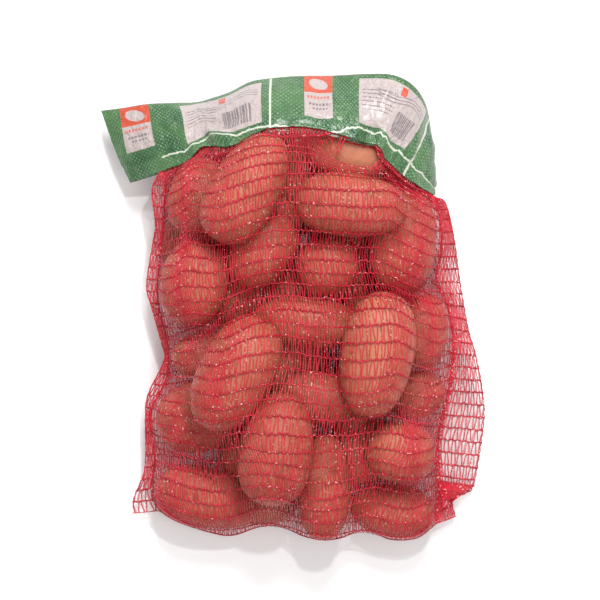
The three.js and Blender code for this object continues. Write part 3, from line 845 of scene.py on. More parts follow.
def threads_tree():
    """The threads between the chains: flat ribbons in pairs that lean to and fro and bow apart."""
    tree, given = knit_tree("threads", THREADS)
    stitches, rows = given["Stitches"], given["Rows"]
    grid = output(tree, "GeometryNodeMeshGrid", {
        "Size X": stitches - 1.0, "Size Y": rows - 1.0, "Vertices X": stitches, "Vertices Y": rows,
    })
    grid = moved_by(grid, combine(stitches / 2.0, (rows - 1.0) / 2.0))
    copies = line_copies(grid, (0, 1, 0), given["Steps"])
    loose = []
    for number, (name, size) in enumerate((("top", "Lean"), ("foot", "Lean"), ("bow", "Bow"))):
        seed = given["Seed"] + float(number)
        copies, value = random_on(copies, name, given[size] * -1.0, given[size], seed)
        loose.append(value)
    top, foot, bow = loose
    factor = output(tree, "GeometryNodeSplineParameter")
    turn = factor * math.pi
    lean = top + factor * (foot - top)
    arc = bow * maths("SINE", turn)
    side = maths("FLOOR", position(tree)[0]) % 2.0 * 2.0 - 1.0
    pair = side * given["Zigzag"] * maths("COSINE", turn)
    bent = moved_by(realized(copies), combine(lean + arc + pair))
    sweep(given, bent, given["Raised"])
    return tree


def chains_tree():
    """The chains across the bag: strands that twist round each other in scallops and wander."""
    tree, given = knit_tree("chains", CHAINS)
    rows = output(tree, "GeometryNodeMeshLine", {
        "Count": given["Rows"] + 1.0, "Start Location": (0.0, 0.0, 0.0), "Offset": (0.0, 1.0, 0.0),
    })
    count = given["Steps"] * given["Stitches"] + 1.0
    copies = line_copies(rows, combine(given["Stitches"]), count)
    copies, shift = random_on(copies, "shift", 0.0, SHIFTS, given["Seed"])
    x, y, _ = position(tree)
    along = x + shift
    turn = along * (2 * math.pi) + given["Phase"]
    for pace, size in ((WANDER_PACE, "Wander"), (SCALLOP_PACE, "Scallop")):
        y = y + (noise_at(combine(along, shift), pace, 1.0) - 0.5) * 2.0 * given[size]
    # a scallop hangs between every second thread
    y = y + maths("ABSOLUTE", maths("SINE", along * (math.pi / 2))) * given["Scallop"]
    y = y + maths("SINE", turn) * given["Twist Across"]
    sweep_twisted(given, moved_to(realized(copies), combine(x, y)), turn, given["Twist Up"])
    return tree


def cords_tree():
    """The seams down the sides: strands that cross to and fro over each other."""
    tree, given = knit_tree("cords", CORDS)
    starts = output(tree, "GeometryNodeMeshLine", {
        "Count": given["Strands"], "Start Location": combine(given["At"]), "Offset": (0.0, 0.0, 0.0),
    })
    copies = line_copies(starts, combine(0.0, given["Rows"]), given["Steps"] * given["Rows"])
    copies, shift = random_on(copies, "shift", 0.0, SHIFTS, given["Seed"])
    along = position(tree)[1] * given["Turns"] + shift
    turn = along * (2 * math.pi)
    swing = maths("SINE", turn) + (noise_at(combine(along, shift), CORD_PACE, 2.0) - 0.5)
    bent = moved_by(realized(copies), combine(swing * given["Spread"]))
    sweep_twisted(given, bent, turn, given["Raised"])
    return tree


def grow(name, sheet, tree, material, **values):
    """Runs a tree on a sheet and returns the result as a plain mesh object."""
    host = add_object(name + "_host", sheet.data)
    modifier = host.modifiers.new("knit", "NODES")
    modifier.node_group = tree
    for item in tree.interface.items_tree:
        if item.in_out != "INPUT":
            continue
        key = item.name.replace(" ", "_").lower()
        if item.name == "Material":
            modifier[item.identifier] = material
        elif key in values:
            modifier[item.identifier] = values[key]
    made = plain_copy(name, host)
    mesh = made.data
    for attribute in [a.name for a in mesh.attributes if a.name in WORKING_VALUES]:
        mesh.attributes.remove(mesh.attributes[attribute])
    mesh.shade_smooth()
    return made


def plain_copy(name, host):
    """The host's finished form as a mesh object. The host goes."""
    ready = host.evaluated_get(bpy.context.evaluated_depsgraph_get())
    mesh = bpy.data.meshes.new_from_object(ready)
    bpy.data.objects.remove(host)
    mesh.name = name
    return add_object(name, mesh)


# ---------------------------------------------------------------- tear, loose strands and fold

TEAR = np.array([49.0, 134.0])  # middle of the hole under the header's edge
TEAR_SIZE = np.array([23.0, 11.0])  # its half length and half width
TEAR_TURN = -16.0  # degrees
TEAR_REACH = 2.2  # the net is pushed aside as far as this many times its size
TEAR_BARE = 0.93  # share of its size inside which nothing is left

# Broken strands that hang across the hole's left end: x and y of their two ends, and how far they bow.
STRANDS = [
    (44, 145, 36, 130, 2.0), (42, 145, 34, 131, 1.2), (41, 145, 38, 128, -1.5), (30, 143, 40, 128, 1.5),
    (28, 142, 37, 127, -2.0), (33, 144, 30, 129, 1.0), (46, 144, 37, 129, -1.0), (26, 141, 33, 130, 0.8),
]
STRAND_RADIUS = 0.35
STRAND_STEPS = 8

FOLD_CORNERS = [(124, -147), (156, -152), (129, -171)]  # the selvedge's corner that lies folded over
FOLD_LIFT = 2.0
FOLD_STEPS = 12
FOLD_NARROWS = 0.98  # how much of its width the fold has lost at its tip
FOLD_ABOUT = 30.0  # the sheet's height near the fold
FOLD_KNIT = {"stitches": 26, "rows": 3}
FOLD_THREAD = 0.0013  # width of the threads in the fold


def from_hole(points):
    """Points as seen from the middle of the hole, where its rim is 1 away."""
    cos, sin = cos_sin(TEAR_TURN)
    return (points[:, :2] - TEAR) @ np.array([[cos, -sin], [sin, cos]]) / TEAR_SIZE


def tear(piece, tree):
    """Pushes a piece of the net aside round the hole, down the slope of the sheet, and opens the hole."""
    mesh = piece.data
    points = np.empty(3 * len(mesh.vertices))
    mesh.vertices.foreach_get("co", points)
    points = points.reshape(-1, 3) / MM
    seen = from_hole(points)
    apart = np.linalg.norm(seen, axis=1) + TINY
    near = np.flatnonzero(apart < TEAR_REACH)
    wider = 1 + apart[near] * (TEAR_REACH - 1) / TEAR_REACH
    pushed = seen[near] * (wider / apart[near])[:, None]
    cos, sin = cos_sin(TEAR_TURN)
    aside = (pushed * TEAR_SIZE) @ np.array([[cos, sin], [-sin, cos]]) + TEAR
    for i, (x, y) in zip(near, aside):
        before = on_sheet(tree, *points[i, :2])
        after = on_sheet(tree, x, y)
        if before and after:
            points[i] = (x, y, points[i, 2] + after.z - before.z)
    mesh.vertices.foreach_set("co", (points * MM).ravel())
    edges = np.empty(2 * len(mesh.edges), dtype=np.int32)
    mesh.edges.foreach_get("vertices", edges)
    edges = edges.reshape(-1, 2)
    across = np.linalg.norm(from_hole(points)[edges].mean(axis=1), axis=1) < TEAR_BARE
    drop_parts(mesh, edges, np.unique(edges[across]))


def drop_parts(mesh, edges, points):
    """Removes each separate part of a mesh that holds one of the points."""
    group = np.arange(len(mesh.vertices))
    while True:
        lowest = np.minimum(group[edges[:, 0]], group[edges[:, 1]])
        before = group.copy()
        np.minimum.at(group, edges[:, 0], lowest)
        np.minimum.at(group, edges[:, 1], lowest)
        group = group[group]
        if np.array_equal(group, before):
            break
    gone = np.isin(group, np.unique(group[points]))
    work = bmesh.new()
    work.from_mesh(mesh)
    work.verts.ensure_lookup_table()
    bmesh.ops.delete(work, geom=[work.verts[i] for i in np.flatnonzero(gone)], context="VERTS")
    work.to_mesh(mesh)
    work.free()


def make_strands(tree, material):
    """The broken strands, as thin round cords that lie where the sheet was, at one end of the hole."""
    curve = bpy.data.curves.new("strands", "CURVE")
    curve.dimensions = "3D"
    curve.bevel_depth = STRAND_RADIUS * MM
    curve.bevel_resolution = 1
    curve.use_fill_caps = True
    for x0, y0, x1, y1, bow in STRANDS:
        shares = np.linspace(0, 1, STRAND_STEPS + 1)
        strand = curve.splines.new("POLY")
        strand.points.add(STRAND_STEPS)
        for point, share in zip(strand.points, shares):
            x = x0 + (x1 - x0) * share + bow * math.sin(math.pi * share)
            y = y0 + (y1 - y0) * share
            z = on_sheet(tree, x, y).z + STRAND_RADIUS
            point.co = (x * MM, y * MM, z * MM, 1)
    strands = plain_copy("net_loose_strands", add_object("strands_host", curve))
    strands.data.materials.clear()
    strands.data.materials.append(material)
    return strands


def fold_sheet(tree):
    """The corner of the right selvedge that is folded over onto it."""
    corners = np.array(FOLD_CORNERS, float)
    shares = np.linspace(0, 1, FOLD_STEPS + 1)
    points = np.zeros((FOLD_STEPS + 1, FOLD_STEPS + 1, 3))
    for i, down in enumerate(shares):
        for j, across in enumerate(shares):
            wide = across * (1 - FOLD_NARROWS * down)
            x, y = corners[0] + (corners[1] - corners[0]) * wide + (corners[2] - corners[0]) * down
            under = on_sheet(tree, x, y) or tree.find_nearest(Vector((x, y, FOLD_ABOUT)))[0]
            points[i, j] = (x, y, under.z + FOLD_LIFT)
    return sheet_object("sheet_fold", points, shares, shares)


def make_net(thread, chain, seam):
    """The whole net, from its two sheets to the loose strands."""
    front, back = draw_tight()
    tree = sheet_tree(front)
    threads, chains, cords = threads_tree(), chains_tree(), cords_tree()
    pieces = []
    for side, sheet, seed, strands in (
        ("front", front, FRONT_SEED, (("a", 0.0), ("b", math.pi))),
        ("back", back, BACK_SEED, (("a", 0.0),)),
    ):
        host = net_object("sheet_" + side, sheet)
        if side == "back":
            host.data.flip_normals()
        pieces.append(grow(f"net_{side}_threads", host, threads, thread, seed=seed))
        for letter, phase in strands:
            name = f"net_{side}_chains_{letter}"
            pieces.append(grow(name, host, chains, chain, seed=seed + CHAIN_SEED, phase=phase))
        if side == "front":
            for piece in pieces:
                tear(piece, tree)
            for name, at, count, spread in SEAMS:
                yarn = seam if name.endswith("seam") else chain
                pieces.append(grow(name, host, cords, yarn, at=float(at), strands=count, spread=spread))
        bpy.data.objects.remove(host)
    host = fold_sheet(tree)
    pieces.append(grow("net_fold_threads", host, threads, seam, width=FOLD_THREAD, **FOLD_KNIT))
    pieces.append(grow("net_fold_chains", host, chains, chain, **FOLD_KNIT))
    bpy.data.objects.remove(host)
    pieces.append(make_strands(tree, chain))
    return pieces


# ---------------------------------------------------------------- potatoes

FINE_STEPS = 28  # faces along the edge of each of a shown potato's six sides
COARSE_STEPS = 18  # the same on one that hardly shows
# How pink, and so how dark, each potato's skin is, from 0 for tan, in the order of POTATOES. Where a potato
# lies in shade, its tint was set higher, so part of that darkness is painted shade. The rest are mixed.
TINTS = [
    0.35, 0.5, 0.0, 0.6, 0.95, 0.5, 0.9, 0.8, 0.5, 0.5, 0.0, 0.7, 0.7, 0.8, 0.1, 0.7,
    0.6, 0.7, 0.7, 0.8, 0.6,
]
TINT_STEP = 0.37  # from one to the next of the rest, beginning again at 1
POTATO_SEED = 100
NOISE_SHIFT = 50.0  # how far apart the potatoes' dents may lie in their noise
EYES = 9
EYES_LEAD = (0.6, 0, 0)  # how much more often they are at the leading end
EYE_SIZE = (2.4, 4.0)  # least and greatest half length
EYE_SHAPE = np.array([1.0, 0.5, 1.0])
EYE_DEPTH = 1.0
DENTS = [(1.6, 0.6, 0.6), (5.0, 0.5, 0.18)]  # noise: its pace, what is added to it, and depth


def cube_sphere(steps):
    """Directions spread over a sphere, with quads between them, made from a cube's six faces."""
    t = np.tan(np.linspace(-1, 1, steps + 1) * math.pi / 4)
    a, b = np.meshgrid(t, t, indexing="ij")
    one = np.ones_like(a)
    sides = [(one, a, b), (-one, b, a), (b, one, a), (a, -one, b), (a, b, one), (b, a, -one)]
    points, faces = [], []
    for side in sides:
        faces.append(grid_faces(steps + 1, steps + 1)[:, ::-1] + sum(len(p) for p in points))
        points.append(np.stack(side, axis=-1).reshape(-1, 3))
    points = np.concatenate(points)
    faces = np.concatenate(faces)
    points /= np.linalg.norm(points, axis=1)[:, None]
    # the points on the cube's edges are in two or three of its sides
    rounded = np.round(points, 6)
    _, first, same = np.unique(rounded, axis=0, return_index=True, return_inverse=True)
    return points[first], same.reshape(-1)[faces]


def unit_potato(ways):
    """Where directions meet the blunt unit form of a potato."""
    return ways / ((np.abs(ways) ** POTATO_POWER).sum(axis=1) ** (1 / POTATO_POWER))[:, None]


def eye_mask(unit, span, rng):
    """How deep in an eye each point is: short slits, more of them at the leading end."""
    mask = np.zeros(len(unit))
    for _ in range(EYES):
        way = rng.normal(size=3) + EYES_LEAD
        way /= np.linalg.norm(way)
        along = np.cross(way, (1, 0, 0))
        along /= np.linalg.norm(along)
        axes = np.stack([along, np.cross(way, along), way], axis=1)
        size = rng.uniform(*EYE_SIZE) * EYE_SHAPE
        apart = (unit - unit_potato(way[None])) * span
        mask = np.maximum(mask, np.exp(-((apart @ axes / size) ** 2).sum(axis=1)))
    return mask


def potato_mesh(name, row, steps, seed, tint, material):
    """A potato: its smooth form, dents that only go inwards, and eyes."""
    x, y, z, length, width, height, turn, taper = row
    ways, faces = cube_sphere(steps)
    unit = unit_potato(ways)
    rng = np.random.default_rng(seed)
    shift = Vector(rng.uniform(-NOISE_SHIFT, NOISE_SHIFT, 3))
    dents = np.zeros(len(ways))
    for pace, more, depth in DENTS:
        rough = np.array([noise.noise(Vector(way) * pace + shift) for way in ways])
        dents += depth * np.maximum(rough + more, 0)
    eye = eye_mask(unit, np.array([length, width, height]), rng)
    fat = 1 + taper * np.clip(unit[:, 0], -1, 1)
    form = unit * np.stack([np.full(len(fat), length), width * fat, height * fat], axis=1)
    slope = np.sign(unit) * np.abs(unit) ** (POTATO_POWER - 1) / (length, width, height)
    slope /= np.linalg.norm(slope, axis=1)[:, None]
    form -= slope * (dents + EYE_DEPTH * eye)[:, None]
    cos, sin = cos_sin(turn)
    placed = form @ np.array([[cos, sin, 0], [-sin, cos, 0], [0, 0, 1]]) + (x, y, z)
    mesh = make_mesh(name, placed, faces, material)
    for label, values in (("eye", eye), ("tint", np.full(len(eye), tint))):
        mesh.attributes.new(label, "FLOAT", "POINT").data.foreach_set("value", values)
    return add_object(name, mesh)


def make_potatoes(material):
    """Every potato, those that hardly show with fewer faces."""
    shown = len(POTATOES) - GROUND_POTATOES
    pieces = []
    for i, row in enumerate(POTATOES):
        steps = FINE_STEPS if i < shown else COARSE_STEPS
        tint = TINTS[i] if i < shown else (i * TINT_STEP) % 1
        pieces.append(potato_mesh(f"potato_{i + 1:02d}", row, steps, POTATO_SEED + i, tint, material))
    return pieces


# ---------------------------------------------------------------- header

FILM = 0.35  # thickness of one ply of the film
FILM_EDGE = 1.06  # where its open edge is, past the mouth
RINGS = 250  # steps along the band
PLY_STEPS = 40  # steps down each ply
# Waves, then two sizes of creases: the length of one along HEADER, how many down it, and height.
CRUMPLE = [(1.2, 1.6, 1.6), (0.45, 3.5, 1.5), (0.22, 8.0, 0.7)]
CRUMPLE_APART = 5.0  # from each of these to the next in the noise
CREASE_MIDDLE = 0.3  # the creases' usual height, which is taken off
CRUMPLE_START = 0.2  # share of the band's height over which the crumples grow from the fold
CREASE = (0.84, 0.03, 0.9)  # the welded line: its place down the band, its width and its depth

# Buckles of the film: place along HEADER, place down, reach along and down, and height.
BUCKLES = [
    (4.2, 0.95, 0.5, 0.22, -6.0),
    (5.5, 0.90, 0.8, 0.13, 6.0),
    (5.5, 0.62, 1.4, 0.10, -2.5),
    (8.6, 0.93, 1.2, 0.12, 2.5),
    (11.5, 0.93, 0.4, 0.13, -5.0),
    (10.9, 0.86, 0.4, 0.16, 2.5),
    (12.4, 0.90, 0.5, 0.10, 2.5),
    (14.6, 0.55, 0.25, 0.50, -2.0),
    (15.4, 0.40, 0.5, 0.30, 2.5),
    (2.6, 0.72, 1.2, 0.06, -1.2),
    (3.2, 0.30, 0.5, 0.50, 1.5),
    (17.0, 0.24, 0.7, 0.20, -6.0),
    (16.2, 0.62, 0.5, 0.25, 2.5),
]

# Where the print lies on the film: millimetres along the print, then the place along HEADER at the
# fold and at the lower edge. The film is bunched up below where these are close together.
PRINT_LINES = np.array([
    (0, 0, 0), (16, 0.85, 0.34), (41, 2.03, 1.62), (68, 3.04, 3.22), (146, 7.57, 7.63), (153, 7.98, 7.98),
    (176, 9.15, 9.15), (201, 10.03, 10.03), (228, 10.83, 11.0), (306, 14.30, 13.5), (313, 14.70, 14.35),
    (345, 17.0, 17.0),
])
# How many millimetres of the print are above the lower edge, at places along HEADER. The rest is
# rolled under.
PRINT_DEPTHS = np.array([
    (0, 58), (3, 57), (3.7, 53), (4.8, 60), (7.6, 50), (9.6, 43), (11, 57), (12.8, 55), (13.7, 59),
    (17, 58),
])


def print_places(place, down):
    """Millimetres along the print and down from the fold, for points of one ring of the header."""
    lines = PRINT_LINES[:, 1][None] * (1 - down[:, None]) + PRINT_LINES[:, 2][None] * down[:, None]
    along = np.array([np.interp(place, line, PRINT_LINES[:, 0]) for line in lines])
    return along, down * np.interp(place, *PRINT_DEPTHS.T)


def crumpled(places, down):
    """How far the film stands out at points of the header: waves, creases, buckles and the weld."""
    lift = np.zeros(len(down))
    for i, (length, waves, height) in enumerate(CRUMPLE):
        at = np.stack([places / length, down * waves, np.full(len(down), CRUMPLE_APART * i)], axis=1)
        rough = np.array([noise.noise(Vector(point)) for point in at])
        lift += height * (rough if i == 0 else np.abs(rough) - CREASE_MIDDLE)
    for at, low, reach, deep, height in BUCKLES:
        lift += height * np.exp(-((places - at) / reach) ** 2 - ((down - low) / deep) ** 2)
    line, width, depth = CREASE
    lift -= depth * np.exp(-((down - line) / width) ** 2)
    return lift * smooth(down / CRUMPLE_START)


def make_header(material):
    """The folded band of film: a hairpin section swept along, crumpled."""
    places = places_by_length((HEADER_TOP + HEADER_LOW) / 2, 0, len(HEADER) - 1, np.linspace(0, 1, RINGS))
    outside = np.linspace(0.0, FILM_EDGE, PLY_STEPS + 1)[1:]
    inside = np.linspace(FILM_EDGE, FOLD, PLY_STEPS // 2)
    ply = np.concatenate([outside, inside])
    out = POCKET * np.maximum(ply - FOLD, 0) / (1 - FOLD)
    out[:PLY_STEPS] += FILM
    down = np.concatenate([[0.0], ply, ply[::-1][1:]])
    out = np.concatenate([[0.0], out, -out[::-1][1:]])
    side = np.where(np.arange(len(down)) < len(ply) + 1, 1.0, -1.0)
    points, uv = [], []
    for place in places:
        ring = np.full(len(down), place)
        points.append(header_point(ring, down, out + crumpled(ring, down)))
        u, v = print_places(place, down)
        uv.append(np.stack([u, v * side], axis=1))
    n = len(down)
    faces = grid_faces(RINGS, n, wrap=True).tolist()
    faces.append(list(range(n))[::-1])
    faces.append(list(range((RINGS - 1) * n, RINGS * n)))
    mesh = make_mesh("header_film", np.concatenate(points), faces, material)
    add_uv(mesh, "print", np.concatenate(uv) * MM)
    return add_object("header_film", mesh)


# ---------------------------------------------------------------- materials


GRAIN = {"Scale": 500.0, "Strength": 0.3, "Distance": 0.0003}
MASK_BROADER = 8.0  # how many times broader the mask's patches are than the grain


def new_material(name, constants):
    """A material, its tree and its Principled shader, whose constant values are set on its sockets."""
    made = bpy.data.materials.new(name)
    made.use_nodes = True
    shader = made.node_tree.nodes["Principled BSDF"]
    connect(shader, constants)
    return made, made.node_tree, shader


def mix_colors(share, a, b):
    """The colour a turned into b by the share. Sockets 6 and 7 are the node's two colours."""
    return output(share.tree, "ShaderNodeMix", {0: share, 6: a, 7: b}, which=2, data_type="RGBA")


def paint(color, mask, strength, coat):
    """A colour with a coat of another, at a strength where the mask is 1."""
    return mix_colors(mask * strength, color, coat)


def map_range(value, *ends):
    """Stretches a value: where it starts and ends, and then, unless 0 and 1, what these become."""
    return output(value.tree, "ShaderNodeMapRange", {0: value, **dict(enumerate(ends, 1))})


def noise_value(where, scale, detail, low, high):
    """A noise, stretched so that low becomes 0 and high becomes 1."""
    return map_range(noise_at(where, scale, detail), low, high)


def object_place(tree):
    """The place on the object, in metres."""
    return output(tree, "ShaderNodeTexCoord", which="Object")


def kept_value(tree, name):
    """A value that is stored on the mesh's points."""
    return output(tree, "ShaderNodeAttribute", which="Fac", attribute_name=name)


def surface_group():
    """Fine unevenness that the net and the film share: a normal and a mask of where it is rough."""
    tree = bpy.data.node_groups.new("plastic_grain", "ShaderNodeTree")
    face = tree.interface
    for name, value in GRAIN.items():
        face.new_socket(name, in_out="INPUT", socket_type="NodeSocketFloat").default_value = value
    face.new_socket("Normal", in_out="OUTPUT", socket_type="NodeSocketVector")
    face.new_socket("Mask", in_out="OUTPUT", socket_type="NodeSocketFloat")
    given = given_sizes(tree)
    where = object_place(tree)
    sharp = maths("ABSOLUTE", noise_at(where, given["Scale"], 3.0) - 0.5)
    inputs = {"Height": sharp, "Strength": given["Strength"], "Distance": given["Distance"]}
    bump = output(tree, "ShaderNodeBump", inputs)
    mask = noise_at(where, given["Scale"] / MASK_BROADER, 2.0)
    node(tree, "NodeGroupOutput", {"Normal": bump, "Mask": mask})
    return tree


def grain(tree, group, *sizes):
    """The shared unevenness in one material, with its own size and depth: its normal and its mask."""
    made = node(tree, "ShaderNodeGroup", node_tree=group)
    connect(made, dict(zip(GRAIN, sizes)))
    return Value(made.outputs["Normal"]), Value(made.outputs["Mask"])


SKIN_TAN = (0.43, 0.152, 0.082, 1)
SKIN_PINK = (0.32, 0.060, 0.035, 1)
SKIN_DARK = (0.14, 0.035, 0.020, 1)
SKIN_EARTH = (0.25, 0.10, 0.06, 1)
SKIN_SCURF = (0.44, 0.19, 0.12, 1)
# Noises: scale, detail, and the values of them that become 0 and 1.
SKIN_PATCHES = (38.0, 4.0, 0.3, 0.7)
EARTH_SPOTS = (90.0, 6.0, 0.54, 0.70)
SCURF_SPOTS = (130.0, 3.0, 0.55, 0.66)
TINT_SHARE = 0.65  # how much of a skin's colour is its own tint, and not the patches
EARTH_SHARE = 0.5  # how strongly each is laid on
SCURF_SHARE = 0.4
PORE_SHARE = 0.3
EYE_SHARE = 0.75
SKIN_SHINE = {"Specular IOR Level": 0.25}
PORES = 260.0  # how fine the pores are
PORE_DEPTH = 0.6  # of the bump
PORE = (0.20, 0.08)  # a pore's rim and bottom, in its cell
RUSSET = (420.0, 5.0)  # scale and detail of the fine net of cracks
SKIN_ROUGHNESS = (0.42, 0.60)
SKIN_BUMP = {"Strength": 0.45, "Distance": 0.0006}


def skin_material():
    """Pink-brown potato skin: patches, dry earth, pale scurf, small pores and dark eyes."""
    made, tree, shader = new_material("potato_skin", SKIN_SHINE)
    where = object_place(tree)
    broad = noise_value(where, *SKIN_PATCHES)
    share = kept_value(tree, "tint") * TINT_SHARE + broad * (1 - TINT_SHARE)
    pores = {"Vector": where, "Scale": PORES}
    pore = map_range(output(tree, "ShaderNodeTexVoronoi", pores, which="Distance"), *PORE)
    color = mix_colors(share, SKIN_TAN, SKIN_PINK)
    color = paint(color, noise_value(where, *EARTH_SPOTS), EARTH_SHARE, SKIN_EARTH)
    color = paint(color, noise_value(where, *SCURF_SPOTS), SCURF_SHARE, SKIN_SCURF)
    color = paint(color, pore, PORE_SHARE, SKIN_DARK)
    color = paint(color, kept_value(tree, "eye"), EYE_SHARE, SKIN_DARK)
    rough = map_range(broad, 0.0, 1.0, *SKIN_ROUGHNESS)
    height = noise_at(where, *RUSSET) - pore * PORE_DEPTH
    bump = output(tree, "ShaderNodeBump", {"Height": height, **SKIN_BUMP})
    connect(shader, {"Base Color": color, "Roughness": rough, "Normal": bump})
    return made


THREAD_COLORS = ((0.58, 0.008, 0.032, 1), (0.72, 0.030, 0.058, 1))
CHAIN_COLORS = ((0.36, 0.008, 0.020, 1), (0.52, 0.016, 0.034, 1))
SEAM_COLORS = ((0.50, 0.008, 0.024, 1), (0.62, 0.014, 0.034, 1))
YARN_PAINTED_GLINT = (0.95, 0.55, 0.52, 1)  # painted glint: pale colour where a strand would turn its shiny side to the lamp
THREAD_ALPHA = 0.44  # of one face: light goes through two
YARN_SHINE = {"Roughness": 0.28, "Specular IOR Level": 0.4}
YARN_GRAIN = (650.0, 0.7, 0.0004)
YARN_PATCHES = (0.35, 0.65)
PAINTED_GLINTS = (480.0, 0.0, 0.70, 0.76)  # where the painted glints lie: a noise, as the skin's
PAINTED_GLINT_CROWDS = (22.0, 2.0, 0.40, 0.60)
PAINTED_GLINTS_EVERYWHERE = 0.3  # how many of the painted glints aren't in crowds


def net_material(name, colors, group, constants):
    """Red plastic yarn, a little uneven in colour, with glints painted into its colour as pale flecks."""
    made, tree, shader = new_material(name, constants)
    normal, mask = grain(tree, group, *YARN_GRAIN)
    where = object_place(tree)
    glint_crowd = noise_value(where, *PAINTED_GLINT_CROWDS)
    glint_crowd = maths("MULTIPLY_ADD", glint_crowd, 1 - PAINTED_GLINTS_EVERYWHERE, PAINTED_GLINTS_EVERYWHERE)
    # painted highlights: pale flecks mixed into the yarn's colour stand in for glints
    painted_glint = noise_value(where, *PAINTED_GLINTS) * glint_crowd
    color = mix_colors(painted_glint, mix_colors(map_range(mask, *YARN_PATCHES), *colors), YARN_PAINTED_GLINT)
    connect(shader, {"Base Color": color, "Normal": normal})
    return made


FILM_GREEN = (0.052, 0.140, 0.046, 1)
FILM_DEEP = (0.012, 0.075, 0.022, 1)
FILM_DOT = (0.20, 0.31, 0.16, 1)
FILM_WHITE = (0.43, 0.36, 0.35, 1)
FILM_CREAM = (0.52, 0.54, 0.45, 1)
FILM_RED = (0.50, 0.065, 0.028, 1)
FILM_GREY = (0.10, 0.075, 0.085, 1)
FILM_SHINE = {"Coat Weight": 0.3, "Coat Roughness": 0.18}
FILM_GRAIN = (150.0, 1.0, 0.004)
FILM_ROUGHNESS = (0.3, 0.7, 0.26, 0.5)  # from the grain's mask, between its two values, to two others

# The film's print, in millimetres along it and down from the fold. It repeats along the band. An area
# is its first and last along, then first and last down. Lines are how far apart, and their share.
PRINT_REPEAT = 160.0
PRINT_SOFT = 0.35  # width of an edge of the print
LABEL = (16.0, 41.0, -2.0, 38.5)
LABEL_HEAD = (16.0, 41.0, -2.0, 17.0)
OVAL = (28.5, 8.8, 8.2, 5.0)  # middle along and down, half length and half height
OVAL_TILT = -0.35  # how far it rises along its length
LABEL_ROWS = [
    ((18.5, 38.5, 20.0, 22.6), FILM_RED),
    ((20.0, 38.0, 26.2, 28.2), FILM_GREY),
    ((23.0, 36.0, 29.8, 31.4), FILM_GREY),
]
DASHES = (2.9, 0.68)
PANEL = (68.0, 146.0, 4.5, 46.0)
PANEL_MARK = (109.0, 115.5, 6.0, 13.0)
PANEL_ROWS = (71.0, 106.0, 14.0, 33.0)
PANEL_ROW = (3.6, 0.36)
WAVY_AREA = (84.0, 143.0, 8.0, 24.0)
WAVY_BAND = (13.0, 19.5)  # of the waved lines, those that are printed
WAVY_LINE = (2.6, 0.26)
WAVE_PACE = 0.11
WAVE_HEIGHT = 3.0
BARS = (113.0, 138.0, 25.0, 42.0)
THIN_BARS = (2.3, 0.5)
THICK_BARS = (1.5, 0.6)
WELD_LINE = (47.1, 48.7)
WELD_ENDS = (43.0, 900.0)
WELD_SWAY = 3.6
STRIPE = (152.2, 153.8, 1.0, 70.0)
DOT_APART = 3.6
DOT_RADIUS = 0.62
BELOW_ALL = -1.0  # less than any distance
INK = 0.75  # how strongly dots, dashes and bars are printed
ROW_INK = 0.85
WAVY_INK = 0.8

# Noises, as the skin's.
FILM_CLOUDS = (42.0, 5.0, 0.42, 0.66)
DOT_WEAR = (120.0, 2.0, 0.25, 0.6)
PANEL_GAPS = (0.9, 1.0, 0.44, 0.5)
BAR_CHANGES = (0.55, 0.0, 0.40, 0.52)
WELD_WAVES = (0.09, 5.0, 0.3, 0.7)


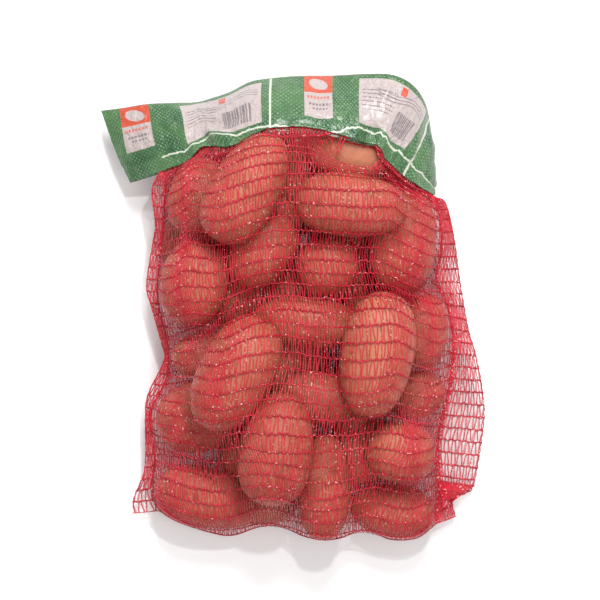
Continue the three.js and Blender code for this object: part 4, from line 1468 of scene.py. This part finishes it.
def film_material(group):
    """Glossy printed film. The print is fields of colour, stripes, dots and plain dashes."""
    made, tree, shader = new_material("printed_film", FILM_SHINE)
    where = object_place(tree)
    u, v, _ = split(output(tree, "ShaderNodeUVMap", uv_map="print"))
    along = u * (1 / MM)
    down = maths("ABSOLUTE", v) * (1 / MM)
    repeated = along % PRINT_REPEAT

    def band(value, low, high):
        """1 between low and high."""
        inside = maths("MINIMUM", value - low, high - value)
        return maths("MULTIPLY_ADD", inside, 1 / PRINT_SOFT, 0.5, clamp=True)

    def area(sizes):
        return band(repeated, *sizes[:2]) * band(down, *sizes[2:])

    def stripes(value, lines, start=0.0):
        """Stripes across a value: 1 on the first share of each step."""
        apart, share = lines
        return band((value - start) % apart, 0.0, apart * share)

    def distance(x, y):
        return maths("SQRT", x * x + y * y)

    color = mix_colors(noise_value(where, *FILM_CLOUDS), FILM_GREEN, FILM_DEEP)
    # dots in staggered rows
    row = maths("FLOOR", down / (DOT_APART / 2))
    across = maths("MULTIPLY_ADD", row, DOT_APART / 2, along) % DOT_APART - DOT_APART / 2
    upright = down % (DOT_APART / 2) - DOT_APART / 4
    dot = band(distance(across, upright), BELOW_ALL, DOT_RADIUS) * noise_value(where, *DOT_WEAR)
    color = paint(color, dot, INK, FILM_DOT)

    # labels: a red head with a plain oval, and rows of dashes below
    color = mix_colors(area(LABEL), color, FILM_WHITE)
    color = mix_colors(area(LABEL_HEAD), color, FILM_RED)
    middle, low, half, high = OVAL
    x = (repeated - middle) / half
    y = maths("MULTIPLY_ADD", x, OVAL_TILT, (down - low) / high)
    color = mix_colors(band(distance(x, y) * high, BELOW_ALL, high), color, FILM_WHITE)
    for sizes, tone in LABEL_ROWS:
        color = paint(color, area(sizes) * stripes(repeated, DASHES, sizes[0]), INK, tone)

    # panels: pale, with rows of broken dashes, wavy lines, a small red mark and a block of bars
    color = mix_colors(area(PANEL), color, FILM_WHITE)
    gaps = noise_value(combine(repeated, down), *PANEL_GAPS)
    rows = area(PANEL_ROWS) * stripes(down, PANEL_ROW, PANEL_ROWS[2]) * gaps
    color = paint(color, rows, ROW_INK, FILM_GREY)
    waved = down + maths("SINE", repeated * WAVE_PACE) * WAVE_HEIGHT
    lines = area(WAVY_AREA) * stripes(waved, WAVY_LINE) * band(waved, *WAVY_BAND)
    color = paint(color, lines, WAVY_INK, FILM_GREY)
    color = mix_colors(area(PANEL_MARK), color, FILM_RED)
    thick = noise_value(combine(repeated), *BAR_CHANGES) * stripes(repeated, THICK_BARS)
    bars = area(BARS) * maths("MAXIMUM", stripes(repeated, THIN_BARS), thick)
    color = paint(color, bars, INK, FILM_GREY)

    # pale lines: across the band, and along the weld
    color = mix_colors(area(STRIPE), color, FILM_CREAM)
    swayed = down - noise_value(combine(along), *WELD_WAVES) * WELD_SWAY
    weld = band(swayed, *WELD_LINE) * band(along, *WELD_ENDS)
    color = mix_colors(weld, color, FILM_CREAM)

    normal, mask = grain(tree, group, *FILM_GRAIN)
    rough = map_range(mask, *FILM_ROUGHNESS)
    connect(shader, {"Base Color": color, "Roughness": rough, "Normal": normal})
    return made


# ---------------------------------------------------------------- stage

FLOOR_HALF = 3000.0
FLOOR_LOOKS = {"Base Color": (0.96, 0.96, 0.96, 1), "Roughness": 0.9}
WORLD_LIGHT = 0.55
LAMPS = (  # name, place in metres, size across, power
    ("key", (0.2, 1.7, 2.1), 0.9, 58.0),
    ("fill", (0.4, -0.6, 2.4), 1.6, 20.0),
    ("sparkle", (0.3, 0.9, 2.4), 0.10, 16.0),
)


def make_stage():
    """A pale floor, soft light from all round, and three lamps that point at the bag."""
    made, _, _ = new_material("pale_floor", FLOOR_LOOKS)
    corners = [(x * FLOOR_HALF, y * FLOOR_HALF, 0) for x, y in ((-1, -1), (1, -1), (1, 1), (-1, 1))]
    add_object("floor", make_mesh("floor", corners, [(0, 1, 2, 3)], made))
    world = bpy.data.worlds.new("studio")
    bpy.context.scene.world = world
    world.use_nodes = True
    light = world.node_tree.nodes["Background"].inputs
    light["Color"].default_value = (1, 1, 1, 1)
    light["Strength"].default_value = WORLD_LIGHT
    for name, place, size, power in LAMPS:
        data = bpy.data.lights.new(name, "AREA")
        data.shape = "DISK"
        data.size = size
        data.energy = power
        lamp = add_object(name, data)
        lamp.location = place
        lamp.rotation_euler = (-Vector(place)).to_track_quat("-Z", "Y").to_euler()
    bpy.context.scene.view_settings.view_transform = "Standard"


# ---------------------------------------------------------------- the whole

set_camera()
plastic = surface_group()
sheer = {**YARN_SHINE, "Alpha": THREAD_ALPHA}
thread_material = net_material("net_thread", THREAD_COLORS, plastic, sheer)
chain_material = net_material("net_chain", CHAIN_COLORS, plastic, YARN_SHINE)
seam_material = net_material("net_seam", SEAM_COLORS, plastic, YARN_SHINE)
net_pieces = make_net(thread_material, chain_material, seam_material)
potato_pieces = make_potatoes(skin_material())
header = make_header(film_material(plastic))
for piece in net_pieces + potato_pieces:
    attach(piece, "root")
    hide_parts("potato_net")
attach(header, "root")
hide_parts("header_band")
make_stage()
